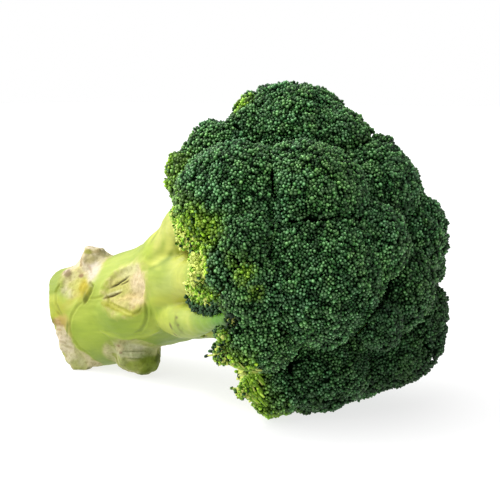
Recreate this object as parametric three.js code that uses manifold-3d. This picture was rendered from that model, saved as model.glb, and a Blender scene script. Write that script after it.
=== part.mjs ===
// A head of broccoli lying on its side: the cut stalk, the branches that fan out of it, and the
// dome of tightly packed bud heads that the branches carry.
//
// Units are millimetres and +Z is up. The head rests on z = 0, with the origin under the middle
// of its bounding box. The stalk's axis lies in the XZ plane and leans up towards +X, so the cut
// end is low at -X and the crown is at +X.
//
// Everything is laid out in the plant's own frame first: x runs along the stalk's axis from the
// cut end (0) through the crown, y is level, and z is "up" across the stalk. The group "plant"
// then leans that frame and sets it on the ground.
import * as THREE from "three";
import { mergeVertices } from "three/addons/utils/BufferGeometryUtils.js";
import Module from "manifold-3d";

const wasm = await Module();
wasm.setup();

// ---------------------------------------------------------------- driving dimensions

const LEAN = 18; // degrees that the stalk's axis rises above level
const CROWN_HEIGHT = 66.9; // height of the crown's centre above the ground
const CROWN_AT = 144.3; // distance along the axis from the cut end to the crown's centre
const STALK_TOP = 104; // where the stalk ends inside the fan of branches
const FORK_AT = 92; // the branches run together at about this place on the axis
const GAP = 0.3; // clearance between neighbouring pieces
const SHIFT = 43.43; // moves the whole plant along +X, so that its box is centred on the origin
const SHIFT_Y = 0.44;

// Stalk profile: [distance along the axis, radius]
const STALK_PROFILE = [
  [0, 0],
  [-0.6, 12],
  [0.3, 20.6],
  [2.6, 23.6],
  [8, 24.6],
  [20, 24.7],
  [34, 24.3],
  [48, 24.0],
  [60, 24.2],
  [70, 24.8],
  [80, 25.8],
  [89, 26.6],
  [96, 24.2],
  [101, 16.5],
  [STALK_TOP, 0],
];

// Bud heads. Each is the part of a ball that belongs to it alone: neighbours meet in creases on
// the plane where their two balls cross, and the back is cut flat where its branch arrives.
// name: [along the axis from the crown's centre, y, z, ball radius]
const BUD_HEADS = {
  bud_head_top: [7.3, 1.8, 45.3, 26.7],
  bud_head_top_face: [23.3, 6.0, 41.3, 16.9],
  bud_head_top_rim: [0.4, -10.1, 52.3, 17.5],
  bud_head_upper_rim: [-10.8, -24.1, 45.6, 16.9],
  bud_head_upper_near: [0.1, -36.4, 23.1, 27.9],
  bud_head_upper_near_rim: [-19.6, -34.9, 38.1, 14.0],
  bud_head_near_small: [11.1, -51.2, 7.6, 15.2],
  bud_head_near_rim: [3.1, -53.6, -0.2, 15.3],
  bud_head_face_upper: [22.6, -21.8, 17.7, 26.1],
  bud_head_face_large: [17.2, -23.4, -9.2, 32.2],
  bud_head_near_middle: [8.4, -48.4, -9.8, 18.3],
  bud_head_face_upper_far: [26.7, 12.9, 17.2, 25.2],
  bud_head_face_centre: [36.5, -8.6, -4.1, 18.8],
  bud_head_face_far: [29.5, 26.4, -4.7, 20.6],
  bud_head_face_lower: [28.2, 8.8, -22.8, 22.7],
  bud_head_lower_far: [23.7, 24.7, -37.0, 20.0],
  bud_head_lower_small: [33.3, -11.2, -35.6, 12.0],
  bud_head_bottom_face: [17.2, 16.9, -46.1, 19.9],
  bud_head_bottom_large: [-2.9, -7.5, -43.0, 26.2],
  bud_head_bottom_near: [-14.0, -23.9, -46.9, 18.9],
  bud_head_near_lower: [-1.0, -42.1, -27.6, 18.7],
  bud_head_far_small: [34.9, 34.1, 3.4, 14.4],
  bud_head_far_top: [4.5, 24.6, 39.4, 22.1],
  bud_head_far_upper: [0.0, 37.2, 25.1, 24.1],
  bud_head_far_middle: [2.8, 44.1, 7.0, 24.1],
  bud_head_far_lower: [0.0, 43.1, -12.4, 24.1],
  bud_head_far_bottom: [4.3, 34.1, -29.6, 23.5],
  bud_head_bottom_far: [-2.5, 18.8, -44.6, 24.4],
  bud_head_far_face_upper: [20.7, 39.1, 14.2, 18.8],
  bud_head_far_face_lower: [20.0, 38.0, -13.8, 20.2],
  bud_head_rear_top: [-13.0, 6.0, 42.8, 20.2],
  bud_head_rear_upper: [-15.1, 26.1, 31.1, 20.2],
  bud_head_rear_middle: [-16.3, 38.4, 10.3, 20.2],
  bud_head_rear_lower: [-15.7, 36.4, -17.0, 20.2],
  bud_head_rear_bottom: [-14.4, 21.4, -37.0, 18.8],
  bud_head_rear_base: [-16.2, -4.0, -46.4, 18.4],
};

// Branches. Each leaves the stalk at `root`, carries one thick stem to its fork, and sends an arm
// from the fork to each of its bud heads. root: [along the axis from the cut end, y, z].
const BRANCHES = {
  branch_top: {
    root: [80, 1, 14],
    width: 10.5,
    heads: ["bud_head_top", "bud_head_top_face", "bud_head_top_rim"],
  },
  branch_upper_near: {
    root: [70, -8, 13],
    width: 11,
    heads: [
      "bud_head_upper_near",
      "bud_head_upper_rim",
      "bud_head_upper_near_rim",
    ],
  },
  branch_near: {
    root: [80, -15, 1],
    width: 10,
    heads: ["bud_head_near_middle", "bud_head_near_rim", "bud_head_near_small"],
  },
  branch_near_lower: {
    root: [80, -13, -8],
    width: 7.5,
    heads: ["bud_head_near_lower"],
  },
  branch_bottom: {
    root: [82, -5, -14],
    width: 11,
    heads: [
      "bud_head_bottom_large",
      "bud_head_bottom_near",
      "bud_head_rear_base",
    ],
  },
  branch_centre: {
    root: [92, -5, 2],
    width: 11,
    heads: [
      "bud_head_face_large",
      "bud_head_face_upper",
      "bud_head_face_centre",
    ],
  },
  branch_far_face: {
    root: [92, 7, 3],
    width: 9.5,
    heads: [
      "bud_head_face_upper_far",
      "bud_head_face_far",
      "bud_head_far_small",
    ],
  },
  branch_lower_face: {
    root: [92, 2, -7],
    width: 9.5,
    heads: [
      "bud_head_face_lower",
      "bud_head_lower_far",
      "bud_head_lower_small",
      "bud_head_bottom_face",
    ],
  },
  branch_rear_top: {
    root: [76, 8, 13],
    width: 10,
    heads: [
      "bud_head_rear_top",
      "bud_head_far_top",
      "bud_head_rear_upper",
      "bud_head_far_upper",
    ],
  },
  branch_far: {
    root: [78, 15, 2],
    width: 10.5,
    heads: [
      "bud_head_far_middle",
      "bud_head_rear_middle",
      "bud_head_far_face_upper",
    ],
  },
  branch_far_lower: {
    root: [78, 14, -8],
    width: 10,
    heads: [
      "bud_head_far_lower",
      "bud_head_rear_lower",
      "bud_head_far_face_lower",
    ],
  },
  branch_far_bottom: {
    root: [79, 6, -14],
    width: 10,
    heads: [
      "bud_head_bottom_far",
      "bud_head_rear_bottom",
      "bud_head_far_bottom",
    ],
  },
};

// A thin side branch low on the near side, and the tiny roll of buds that lies along its top
const SIDE_BRANCH = {
  path: [
    [75, -16, -12],
    [86, -21.5, -14.6],
    [94.5, -26.2, -16.4],
    [105.5, -32.2, -17.8],
    [119.3, -39.2, -18.4],
    [129.2, -44.4, -19.3],
  ],
  radii: [6.8, 7.2, 6.6, 5.2, 3.8, 3.4],
};
const SMALL_FLORET = {
  path: [
    [103, -33.8, -6.8],
    [107.5, -35.5, -9.3],
    [113.5, -38.2, -11.6],
    [121.6, -41.8, -13.2],
    [128, -45.2, -13.8],
  ],
  radii: [3.2, 4.0, 4.2, 3.8, 3.2],
};

// Leaf-stalk stubs: an oval lump at `at`, its half sizes along the stalk, around it and out of it,
// and how far from the stalk's axis its torn face is cut.
const STUBS = {
  leaf_stub_upper: { at: [22, 55], size: [12.5, 14.5, 14], lift: 19.5, face: 33.6 },
  leaf_stub_centre: { at: [57, 3], size: [15.5, 16, 8], lift: 20.5, face: 26.6 },
  leaf_stub_lower: { at: [34, -84], size: [12.5, 10.5, 14.2], lift: 21.4, face: 37.4 },
  leaf_stub_end: { at: [9.5, -58], size: [7.5, 8.5, 11.5], lift: 21.6, face: 36 },
  leaf_stub_far: { at: [44, 158], size: [12, 12, 8.5], lift: 20.5, face: 27.2 },
};

const GREEN_BUD = 0x35552f;
const PALE_GREEN = 0xb4c766;
const LEAF_SCAR = 0xd9cb94;

// ---------------------------------------------------------------- helpers

const vec = (a) => new THREE.Vector3(a[0], a[1], a[2]);

// a closed three.js geometry as a solid that can be joined and cut
function solidOf(geometry) {
  const g = geometry.clone();
  g.deleteAttribute("normal");
  g.deleteAttribute("uv");
  const merged = mergeVertices(g, 1e-4);
  return new wasm.Manifold(
    new wasm.Mesh({
      numProp: 3,
      vertProperties: new Float32Array(merged.attributes.position.array),
      triVerts: new Uint32Array(merged.index.array),
    }),
  );
}

// the largest body of a solid, back as a three.js geometry
function geometryOf(solid) {
  const bodies = solid.decompose().sort((a, b) => b.volume() - a.volume());
  const mesh = bodies[0].getMesh();
  const n = mesh.numProp;
  const position = new Float32Array(mesh.numVert * 3);
  for (let i = 0; i < mesh.numVert; i++)
    position.set(mesh.vertProperties.subarray(i * n, i * n + 3), i * 3);
  const g = new THREE.BufferGeometry();
  g.setAttribute("position", new THREE.BufferAttribute(position, 3));
  g.setIndex(new THREE.BufferAttribute(new Uint32Array(mesh.triVerts), 1));
  g.computeVertexNormals();
  return g;
}

// a big block filling the space on the inner side of a plane: everything with x.n <= offset
const BLOCK = 260;
function halfSpace(point, normal) {
  const n = normal.clone().normalize();
  const box = new THREE.BoxGeometry(BLOCK, BLOCK, BLOCK);
  box.applyQuaternion(
    new THREE.Quaternion().setFromUnitVectors(new THREE.Vector3(0, 0, 1), n),
  );
  const c = point.clone().addScaledVector(n, -BLOCK / 2);
  box.translate(c.x, c.y, c.z);
  return solidOf(box);
}

function ball(centre, radius, detail) {
  const g = new THREE.IcosahedronGeometry(radius, detail);
  g.translate(centre.x, centre.y, centre.z);
  return solidOf(g);
}

// a round limb along a smooth path, with its own thickness at every point of the path
function limb(points, radii, sides, steps) {
  const curve = new THREE.CatmullRomCurve3(points, false, "centripetal");
  const frames = curve.computeFrenetFrames(steps, false);
  const g = new THREE.CylinderGeometry(1, 1, 1, sides, steps, false);
  g.deleteAttribute("normal");
  g.deleteAttribute("uv");
  const p = g.attributes.position;
  const q = new THREE.Vector3();
  for (let i = 0; i < p.count; i++) {
    const k = Math.round((p.getY(i) + 0.5) * steps);
    const t = k / steps;
    const s = t * (radii.length - 1);
    const j = Math.min(Math.floor(s), radii.length - 2);
    const r = THREE.MathUtils.lerp(radii[j], radii[j + 1], s - j);
    curve.getPointAt(t, q);
    q.addScaledVector(frames.normals[k], -p.getX(i) * r);
    q.addScaledVector(frames.binormals[k], p.getZ(i) * r);
    p.setXYZ(i, q.x, q.y, q.z);
  }
  const s = solidOf(g);
  if (s.volume() > 0) return s;
  const index = g.index.array;
  for (let i = 0; i < index.length; i += 3)
    [index[i + 1], index[i + 2]] = [index[i + 2], index[i + 1]];
  return solidOf(g);
}

// ---------------------------------------------------------------- the plant

const root = new THREE.Group();
const plant = new THREE.Group();
const lean = THREE.MathUtils.degToRad(LEAN);
plant.rotation.y = -lean;
plant.position.set(
  SHIFT - CROWN_AT * Math.cos(lean),
  SHIFT_Y,
  CROWN_HEIGHT - CROWN_AT * Math.sin(lean),
);
root.add(plant);
plant.updateMatrixWorld(true);
const toPlant = plant.matrixWorld.clone().invert();

// everything above the ground, in the plant's frame
const down = new THREE.Vector3(0, 0, -1).transformDirection(toPlant);
const groundPoint = new THREE.Vector3(0, 0, 0).applyMatrix4(toPlant);
const aboveGround = halfSpace(groundPoint, down);

function add(name, solid, colour, roughness) {
  const mesh = new THREE.Mesh(
    geometryOf(solid),
    new THREE.MeshStandardMaterial({ color: colour, roughness, metalness: 0 }),
  );
  mesh.name = name;
  plant.add(mesh);
  return mesh;
}

// stalk: a turned profile, with low ridges that run along it into the branches
function stalkSolid(grow) {
  const profile = STALK_PROFILE.map(([x, r]) => {
    const end = x <= 0 ? -grow : x >= STALK_TOP ? grow : 0;
    return new THREE.Vector2(r === 0 ? 0 : r + grow, x + end);
  });
  const g = new THREE.LatheGeometry(profile, 24);
  const p = g.attributes.position;
  for (let i = 0; i < p.count; i++) {
    const x = p.getY(i);
    const y = p.getX(i);
    const z = p.getZ(i);
    const a = Math.atan2(z, y);
    const r = Math.hypot(y, z);
    const t = THREE.MathUtils.smoothstep(x, 55, 92);
    const bump =
      0.5 * Math.sin(3 * a + 0.6) +
      0.3 * Math.sin(5 * a + x * 0.03) +
      1.1 * t * Math.sin(7 * a + 0.8);
    const edge = Math.min(1, r / 20);
    const rr = r + bump * edge;
    p.setXYZ(i, x, rr * Math.cos(a), rr * Math.sin(a));
  }
  const s = solidOf(g);
  if (s.volume() > 0) return s;
  const index = g.index.array;
  for (let i = 0; i < index.length; i += 3)
    [index[i + 1], index[i + 2]] = [index[i + 2], index[i + 1]];
  return solidOf(g);
}

const stalk = stalkSolid(0).intersect(aboveGround);
const stalkGrown = stalkSolid(GAP);
add("stalk", stalk, PALE_GREEN, 0.55);

// bud heads
const crown = (a) => new THREE.Vector3(CROWN_AT + a[0], a[1], a[2]);
const fork = new THREE.Vector3(FORK_AT, 0, 0);
const heads = Object.entries(BUD_HEADS).map(([name, h]) => ({
  name,
  centre: crown(h),
  radius: h[3],
  back: THREE.MathUtils.mapLinear(THREE.MathUtils.clamp(h[0], -14, 20), -14, 20, 0.55, -0.1),
}));

function headSolid(h, grow) {
  const detail = h.radius > 24.3 ? 3 : 2;
  let s = ball(h.centre, h.radius + grow, detail);
  for (const o of heads) {
    if (o === h) continue;
    const n = o.centre.clone().sub(h.centre);
    const far = n.length();
    if (far > h.radius + o.radius) continue;
    n.normalize();
    const at =
      (far * far + h.radius * h.radius - o.radius * o.radius) / (2 * far);
    if (at > h.radius) continue;
    const point = h.centre.clone().addScaledVector(n, at - GAP / 2 + grow);
    s = s.intersect(halfSpace(point, n));
  }
  // the flat back, square to the line from the fork
  const out = h.centre.clone().sub(fork).normalize();
  const back = -h.back * h.radius;
  const backPoint = h.centre.clone().addScaledVector(out, back - grow);
  return s.intersect(halfSpace(backPoint, out.clone().negate()));
}

const headsGrown = new Map();
for (const h of heads) {
  headsGrown.set(h.name, headSolid(h, GAP));
  add(
    h.name,
    headSolid(h, 0).subtract(stalkGrown).intersect(aboveGround),
    GREEN_BUD,
    0.8,
  );
}
const allHeadsGrown = [...headsGrown.values()].reduce((a, b) => a.add(b));

// branches: a thick stem to the fork, then an arm to each head. Each one is fitted against the
// stalk, the heads and the branches before it.
let takenGrown = allHeadsGrown.add(stalkGrown);
function branchSolid(b, grow) {
  const start = vec(b.root);
  const targets = b.heads.map((n) => heads.find((h) => h.name === n));
  const mean = new THREE.Vector3();
  for (const t of targets) mean.add(t.centre);
  mean.divideScalar(targets.length);
  const split = start.clone().lerp(mean, 0.5);
  const away = start.clone().lerp(mean, 0.25);
  away.x += 2;
  let s = limb(
    [start, away, split],
    [b.width + grow, b.width * 0.92 + grow, b.width * 0.8 + grow],
    8,
    3,
  );
  s = s.add(ball(split, b.width * 0.82 + grow, 0));
  for (const t of targets) {
    const end = t.centre.clone();
    const w = Math.min(b.width * 0.72, 0.4 * t.radius);
    const mid = split.clone().lerp(end, 0.5);
    s = s.add(limb([split, mid, end], [w + grow, w * 0.95 + grow, w * 1.1 + grow], 6, 2));
  }
  return s;
}
for (const [name, b] of Object.entries(BRANCHES)) {
  const fitted = branchSolid(b, 0).subtract(takenGrown).intersect(aboveGround);
  add(name, fitted, PALE_GREEN, 0.55);
  takenGrown = takenGrown.add(branchSolid(b, GAP));
}

// the side branch and its tiny floret
const sidePath = SIDE_BRANCH.path.map(vec);
const sideSolid = (grow) =>
  limb(
    sidePath,
    SIDE_BRANCH.radii.map((r) => r + grow),
    8,
    6,
  );
add("side_branch", sideSolid(0).subtract(takenGrown), PALE_GREEN, 0.55);
takenGrown = takenGrown.add(sideSolid(GAP));

const floretShape = (grow) =>
  limb(
    SMALL_FLORET.path.map(vec),
    SMALL_FLORET.radii.map((r) => r + grow),
    8,
    6,
  );
add("small_floret", floretShape(0).subtract(takenGrown), GREEN_BUD, 0.8);
takenGrown = takenGrown.add(floretShape(GAP));

// leaf-stalk stubs, each fitted to the stalk and cut by its torn face
for (const [name, s] of Object.entries(STUBS)) {
  const [x, degrees] = s.at;
  const a = THREE.MathUtils.degToRad(degrees);
  // 0 degrees faces the near side (-Y) and 90 degrees faces up
  const out = new THREE.Vector3(0, -Math.cos(a), Math.sin(a));
  const around = new THREE.Vector3(0, Math.sin(a), Math.cos(a));
  const along = new THREE.Vector3(1, 0, 0);
  const g = new THREE.SphereGeometry(1, 12, 7);
  g.applyMatrix4(
    new THREE.Matrix4().makeBasis(
      along.multiplyScalar(s.size[0]),
      around.clone().multiplyScalar(s.size[1]),
      out.clone().multiplyScalar(s.size[2]),
    ),
  );
  const c = out.clone().multiplyScalar(s.lift);
  g.translate(x + c.x, c.y, c.z);
  let lump = solidOf(g);
  if (lump.volume() < 0) {
    const index = g.index.array;
    for (let i = 0; i < index.length; i += 3)
      [index[i + 1], index[i + 2]] = [index[i + 2], index[i + 1]];
    lump = solidOf(g);
  }
  const facePoint = out.clone().multiplyScalar(s.face);
  facePoint.x = x;
  lump = lump
    .intersect(halfSpace(facePoint, out))
    .subtract(takenGrown)
    .intersect(aboveGround);
  add(name, lump, LEAF_SCAR, 0.7);
}

export default root;
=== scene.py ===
# A head of broccoli lying on its side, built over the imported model's frame.
# Lengths below are millimetres in the plant's own frame (x along the stalk's axis from the cut
# end, y level, z "up" across the stalk) until to_world() turns them into metres in the frame.
import math

import bpy
import numpy as np
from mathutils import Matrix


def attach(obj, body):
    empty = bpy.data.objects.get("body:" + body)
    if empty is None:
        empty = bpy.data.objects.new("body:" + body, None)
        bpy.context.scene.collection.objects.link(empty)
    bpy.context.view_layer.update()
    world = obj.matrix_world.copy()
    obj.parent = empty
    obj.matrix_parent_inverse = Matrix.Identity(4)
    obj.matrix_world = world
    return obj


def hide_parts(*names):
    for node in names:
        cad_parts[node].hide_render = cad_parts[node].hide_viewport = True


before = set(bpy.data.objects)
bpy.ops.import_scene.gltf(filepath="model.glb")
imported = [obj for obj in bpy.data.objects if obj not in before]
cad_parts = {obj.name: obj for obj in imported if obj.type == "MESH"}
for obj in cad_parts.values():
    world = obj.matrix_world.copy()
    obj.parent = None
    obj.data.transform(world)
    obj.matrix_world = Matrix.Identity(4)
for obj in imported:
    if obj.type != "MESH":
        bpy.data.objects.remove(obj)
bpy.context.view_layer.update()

# ------------------------------------------------------------------ the plant's frame

LEAN = math.radians(18.0)
CROWN_AT = 144.3
CROWN_HEIGHT = 66.9
SHIFT = (43.43, 0.44)
CL, SL = math.cos(LEAN), math.sin(LEAN)
ORIGIN = np.array([SHIFT[0] - CROWN_AT * CL, SHIFT[1], CROWN_HEIGHT - CROWN_AT * SL])


def to_world(p):
    p = np.asarray(p, dtype=np.float64)
    out = np.empty_like(p)
    out[..., 0] = p[..., 0] * CL - p[..., 2] * SL + ORIGIN[0]
    out[..., 1] = p[..., 1] + ORIGIN[1]
    out[..., 2] = p[..., 0] * SL + p[..., 2] * CL + ORIGIN[2]
    return out * 0.001


def ground_height(p):
    """height above the ground, mm, of points in the plant's frame"""
    return p[..., 0] * SL + p[..., 2] * CL + ORIGIN[2]


UP = np.array([SL, 0.0, CL])  # world up in the plant's frame
# three square directions for the details of the near side: out of it, to its right, and up it
NEAR = np.array([0.6228, -0.7803, -0.0560])
RIGHT = np.array([0.7494, 0.6157, -0.2435])
RISE = np.array([0.2245, 0.1097, 0.9683])


def facing(r, u, n=0.0):
    return r * RIGHT + u * RISE + n * NEAR


def unit(v):
    v = np.asarray(v, dtype=np.float64)
    return v / np.maximum(np.linalg.norm(v, axis=-1, keepdims=True), 1e-12)


# bud heads: along the axis from the crown's centre, y, z, ball radius
HEADS = {
    "bud_head_top": (7.3, 1.8, 45.3, 26.7),
    "bud_head_top_face": (23.3, 6.0, 41.3, 16.9),
    "bud_head_top_rim": (0.4, -10.1, 52.3, 17.5),
    "bud_head_upper_rim": (-10.8, -24.1, 45.6, 16.9),
    "bud_head_upper_near": (0.1, -36.4, 23.1, 27.9),
    "bud_head_upper_near_rim": (-19.6, -34.9, 38.1, 14.0),
    "bud_head_near_small": (11.1, -51.2, 7.6, 15.2),
    "bud_head_near_rim": (3.1, -53.6, -0.2, 15.3),
    "bud_head_face_upper": (22.6, -21.8, 17.7, 26.1),
    "bud_head_face_large": (17.2, -23.4, -9.2, 32.2),
    "bud_head_near_middle": (8.4, -48.4, -9.8, 18.3),
    "bud_head_face_upper_far": (26.7, 12.9, 17.2, 25.2),
    "bud_head_face_centre": (36.5, -8.6, -4.1, 18.8),
    "bud_head_face_far": (29.5, 26.4, -4.7, 20.6),
    "bud_head_face_lower": (28.2, 8.8, -22.8, 22.7),
    "bud_head_lower_far": (23.7, 24.7, -37.0, 20.0),
    "bud_head_lower_small": (33.3, -11.2, -35.6, 12.0),
    "bud_head_bottom_face": (17.2, 16.9, -46.1, 19.9),
    "bud_head_bottom_large": (-2.9, -7.5, -43.0, 26.2),
    "bud_head_bottom_near": (-14.0, -23.9, -46.9, 18.9),
    "bud_head_near_lower": (-1.0, -42.1, -27.6, 18.7),
    "bud_head_far_small": (34.9, 34.1, 3.4, 14.4),
    "bud_head_far_top": (4.5, 24.6, 39.4, 22.1),
    "bud_head_far_upper": (0.0, 37.2, 25.1, 24.1),
    "bud_head_far_middle": (2.8, 44.1, 7.0, 24.1),
    "bud_head_far_lower": (0.0, 43.1, -12.4, 24.1),
    "bud_head_far_bottom": (4.3, 34.1, -29.6, 23.5),
    "bud_head_bottom_far": (-2.5, 18.8, -44.6, 24.4),
    "bud_head_far_face_upper": (20.7, 39.1, 14.2, 18.8),
    "bud_head_far_face_lower": (20.0, 38.0, -13.8, 20.2),
    "bud_head_rear_top": (-13.0, 6.0, 42.8, 20.2),
    "bud_head_rear_upper": (-15.1, 26.1, 31.1, 20.2),
    "bud_head_rear_middle": (-16.3, 38.4, 10.3, 20.2),
    "bud_head_rear_lower": (-15.7, 36.4, -17.0, 20.2),
    "bud_head_rear_bottom": (-14.4, 21.4, -37.0, 18.8),
    "bud_head_rear_base": (-16.2, -4.0, -46.4, 18.4),
}
HEAD_NAMES = list(HEADS)
HC = np.array([(CROWN_AT + h[0], h[1], h[2]) for h in HEADS.values()])
HR = np.array([h[3] for h in HEADS.values()])
HX = np.array([h[0] for h in HEADS.values()])
FORK = np.array([92.0, 0.0, 0.0])
HOUT = unit(HC - FORK)
HBACK = np.interp(np.clip(HX, -14, 20), [-14, 20], [0.55, -0.1])

BRANCHES = {
    "branch_top": ((80, 1, 14), 10.5, ("bud_head_top", "bud_head_top_face", "bud_head_top_rim")),
    "branch_upper_near": ((70, -8, 13), 11.0, ("bud_head_upper_near", "bud_head_upper_rim", "bud_head_upper_near_rim")),
    "branch_near": ((80, -15, 1), 10.0, ("bud_head_near_middle", "bud_head_near_rim", "bud_head_near_small")),
    "branch_near_lower": ((80, -13, -6.5), 6.6, ("bud_head_near_lower",)),
    "branch_bottom": ((82, -4, -11.5), 9.6, ("bud_head_bottom_large", "bud_head_bottom_near", "bud_head_rear_base")),
    "branch_centre": ((92, -5, 2), 11.0, ("bud_head_face_large", "bud_head_face_upper", "bud_head_face_centre")),
    "branch_far_face": ((92, 7, 3), 9.5, ("bud_head_face_upper_far", "bud_head_face_far", "bud_head_far_small")),
    "branch_lower_face": ((92, 2, -7), 9.5, ("bud_head_face_lower", "bud_head_lower_far", "bud_head_lower_small", "bud_head_bottom_face")),
    "branch_rear_top": ((76, 8, 13), 10.0, ("bud_head_rear_top", "bud_head_far_top", "bud_head_rear_upper", "bud_head_far_upper")),
    "branch_far": ((78, 15, 2), 10.5, ("bud_head_far_middle", "bud_head_rear_middle", "bud_head_far_face_upper")),
    "branch_far_lower": ((78, 14, -8), 10.0, ("bud_head_far_lower", "bud_head_rear_lower", "bud_head_far_face_lower")),
    "branch_far_bottom": ((79, 6, -14), 10.0, ("bud_head_bottom_far", "bud_head_rear_bottom", "bud_head_far_bottom")),
}

# ------------------------------------------------------------------ noise and mesh helpers


class Noise:
    """smooth value noise on a wrapped lattice, the same on every run"""

    def __init__(self, seed):
        self.t = np.random.default_rng(seed).uniform(-1, 1, (32, 32, 32))

    def __call__(self, p, scale):
        q = np.asarray(p) / scale
        i = np.floor(q).astype(int)
        f = q - i
        f = f * f * (3 - 2 * f)
        out = 0.0
        for dx in (0, 1):
            wx = f[..., 0] if dx else 1 - f[..., 0]
            for dy in (0, 1):
                wy = f[..., 1] if dy else 1 - f[..., 1]
                for dz in (0, 1):
                    wz = f[..., 2] if dz else 1 - f[..., 2]
                    out = out + wx * wy * wz * self.t[
                        (i[..., 0] + dx) % 32, (i[..., 1] + dy) % 32, (i[..., 2] + dz) % 32]
        return out


def smooth(a, b, x):
    t = np.clip((x - a) / (b - a), 0, 1)
    return t * t * (3 - 2 * t)


def smin(a, b, k):
    h = np.clip(0.5 + 0.5 * (b - a) / k, 0, 1)
    return b * (1 - h) + a * h - k * h * (1 - h)


def smax(a, b, k):
    return -smin(-a, -b, k)


def make_object(name, verts, faces, colours=None, smooth_shade=True, normals=None):
    """verts in the plant's frame (mm), faces an (n, 3) or (n, 4) array,
    colours a dict of point colour attributes"""
    me = bpy.data.meshes.new(name)
    v = to_world(verts).astype(np.float32)
    n, k = faces.shape
    me.vertices.add(len(v))
    me.vertices.foreach_set("co", v.ravel())
    me.loops.add(n * k)
    me.loops.foreach_set("vertex_index", faces.astype(np.int32).ravel())
    me.polygons.add(n)
    me.polygons.foreach_set("loop_start", np.arange(0, n * k, k, dtype=np.int32))
    me.polygons.foreach_set("use_smooth", np.full(n, bool(smooth_shade)))
    me.update(calc_edges=True)
    for key, data in (colours or {}).items():
        at = me.attributes.new(key, "FLOAT_COLOR", "POINT")
        at.data.foreach_set("color", data.astype(np.float32).ravel())
    me.validate(clean_customdata=False)
    if normals is not None:
        w = np.empty_like(normals)
        w[:, 0] = normals[:, 0] * CL - normals[:, 2] * SL
        w[:, 1] = normals[:, 1]
        w[:, 2] = normals[:, 0] * SL + normals[:, 2] * CL
        me.normals_split_custom_set_from_vertices(w.astype(float).tolist())
    ob = bpy.data.objects.new(name, me)
    bpy.context.scene.collection.objects.link(ob)
    return ob


# ------------------------------------------------------------------ stems: one field, many pieces
# The stalk, branches and stubs grow into each other, so they are made as one smooth field and
# its surface is then shared out between the pieces.

VOX = 0.9
LO = np.array([-4.0, -66.0, -66.0])
HI = np.array([172.0, 66.0, 66.0])
DIM = np.ceil((HI - LO) / VOX).astype(int) + 1
axis = [LO[i] + VOX * np.arange(DIM[i]) for i in range(3)]
FIELD = np.full(DIM, 12.0, dtype=np.float32)
NEAREST = np.full(DIM, 99.0, dtype=np.float32)
OWNER = np.zeros(DIM, dtype=np.int16)
STEM_NODES = []


def window(lo, hi):
    a = np.clip(np.floor((np.asarray(lo) - LO) / VOX).astype(int), 0, DIM - 1)
    b = np.clip(np.ceil((np.asarray(hi) - LO) / VOX).astype(int) + 1, 1, DIM)
    if np.any(b - a < 2):
        return None, None
    sl = tuple(slice(a[i], b[i]) for i in range(3))
    g = np.meshgrid(*(axis[i][sl[i]] for i in range(3)), indexing="ij")
    return sl, np.stack(g, -1)


def put(node, fn, lo, hi, k, pad=7.0):
    if node not in STEM_NODES:
        STEM_NODES.append(node)
    idx = STEM_NODES.index(node)
    sl, p = window(np.asarray(lo) - pad, np.asarray(hi) + pad)
    if sl is None:
        return
    d = fn(p).astype(np.float32)
    FIELD[sl] = smin(FIELD[sl], d, k)
    near = NEAREST[sl]
    m = d < near
    near[m] = d[m]
    OWNER[sl][m] = idx


def limb_fn(a, b, ra, rb):
    a, b = np.asarray(a, float), np.asarray(b, float)
    ab = b - a
    L2 = max(float(ab @ ab), 1e-9)

    def fn(p):
        q = p - a
        t = np.clip((q @ ab) / L2, 0, 1)
        return np.linalg.norm(q - t[..., None] * ab, axis=-1) - (ra + (rb - ra) * t)

    return fn


def put_limb(node, pts, radii, k, steps=None):
    """a smooth limb through pts with its own thickness at each"""
    pts = np.asarray(pts, float)
    n = len(pts)
    if steps is None:
        steps = max(2, int(np.ceil(np.linalg.norm(np.diff(pts, axis=0), axis=1).sum() / 6.0)))
    t = np.linspace(0, n - 1, steps + 1)
    i = np.clip(np.floor(t).astype(int), 0, n - 2)
    f = (t - i)[:, None]
    p0, p1 = pts[np.maximum(i - 1, 0)], pts[i]
    p2, p3 = pts[i + 1], pts[np.minimum(i + 2, n - 1)]
    c = 0.5 * (2 * p1 + (p2 - p0) * f + (2 * p0 - 5 * p1 + 4 * p2 - p3) * f ** 2 + (3 * p1 - p0 - 3 * p2 + p3) * f ** 3)
    r = np.interp(t, np.arange(n), radii)
    for j in range(steps):
        lo = np.minimum(c[j], c[j + 1]) - max(r[j], r[j + 1])
        hi = np.maximum(c[j], c[j + 1]) + max(r[j], r[j + 1])
        # within one limb the pieces join hard, and the first one blends into what it leaves
        put(node, limb_fn(c[j], c[j + 1], r[j], r[j + 1]), lo, hi, k if j < 2 else min(k, 1.2))


PROFILE = np.array([
    (-4, 24.0), (0, 24.0), (3, 24.5), (8, 24.7), (20, 24.7), (34, 24.2), (48, 24.0), (60, 24.3), (70, 25.0),
    (80, 26.0), (89, 26.6), (96, 24.0), (104, 18.0), (112, 12.0), (175, 8.0)])
N1, N2, N3 = Noise(11), Noise(23), Noise(37)
ARC = math.radians(24.5)  # one degree round the stalk is ARC mm


def patch(x, ang, at, size, turn=0.0, power=2.0):
    """distance from the middle of a patch on the stalk, 1 at its edge; at is (x, angle),
    size its half sizes along and round the stalk in mm, turn in degrees"""
    u = x - at[0]
    v = (((ang - at[1]) + 180.0) % 360.0 - 180.0) * math.radians(24.5)
    c, s = math.cos(math.radians(turn)), math.sin(math.radians(turn))
    a, b = np.abs((u * c + v * s) / size[0]), np.abs((-u * s + v * c) / size[1])
    return (a ** power + b ** power) ** (1 / power)


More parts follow.
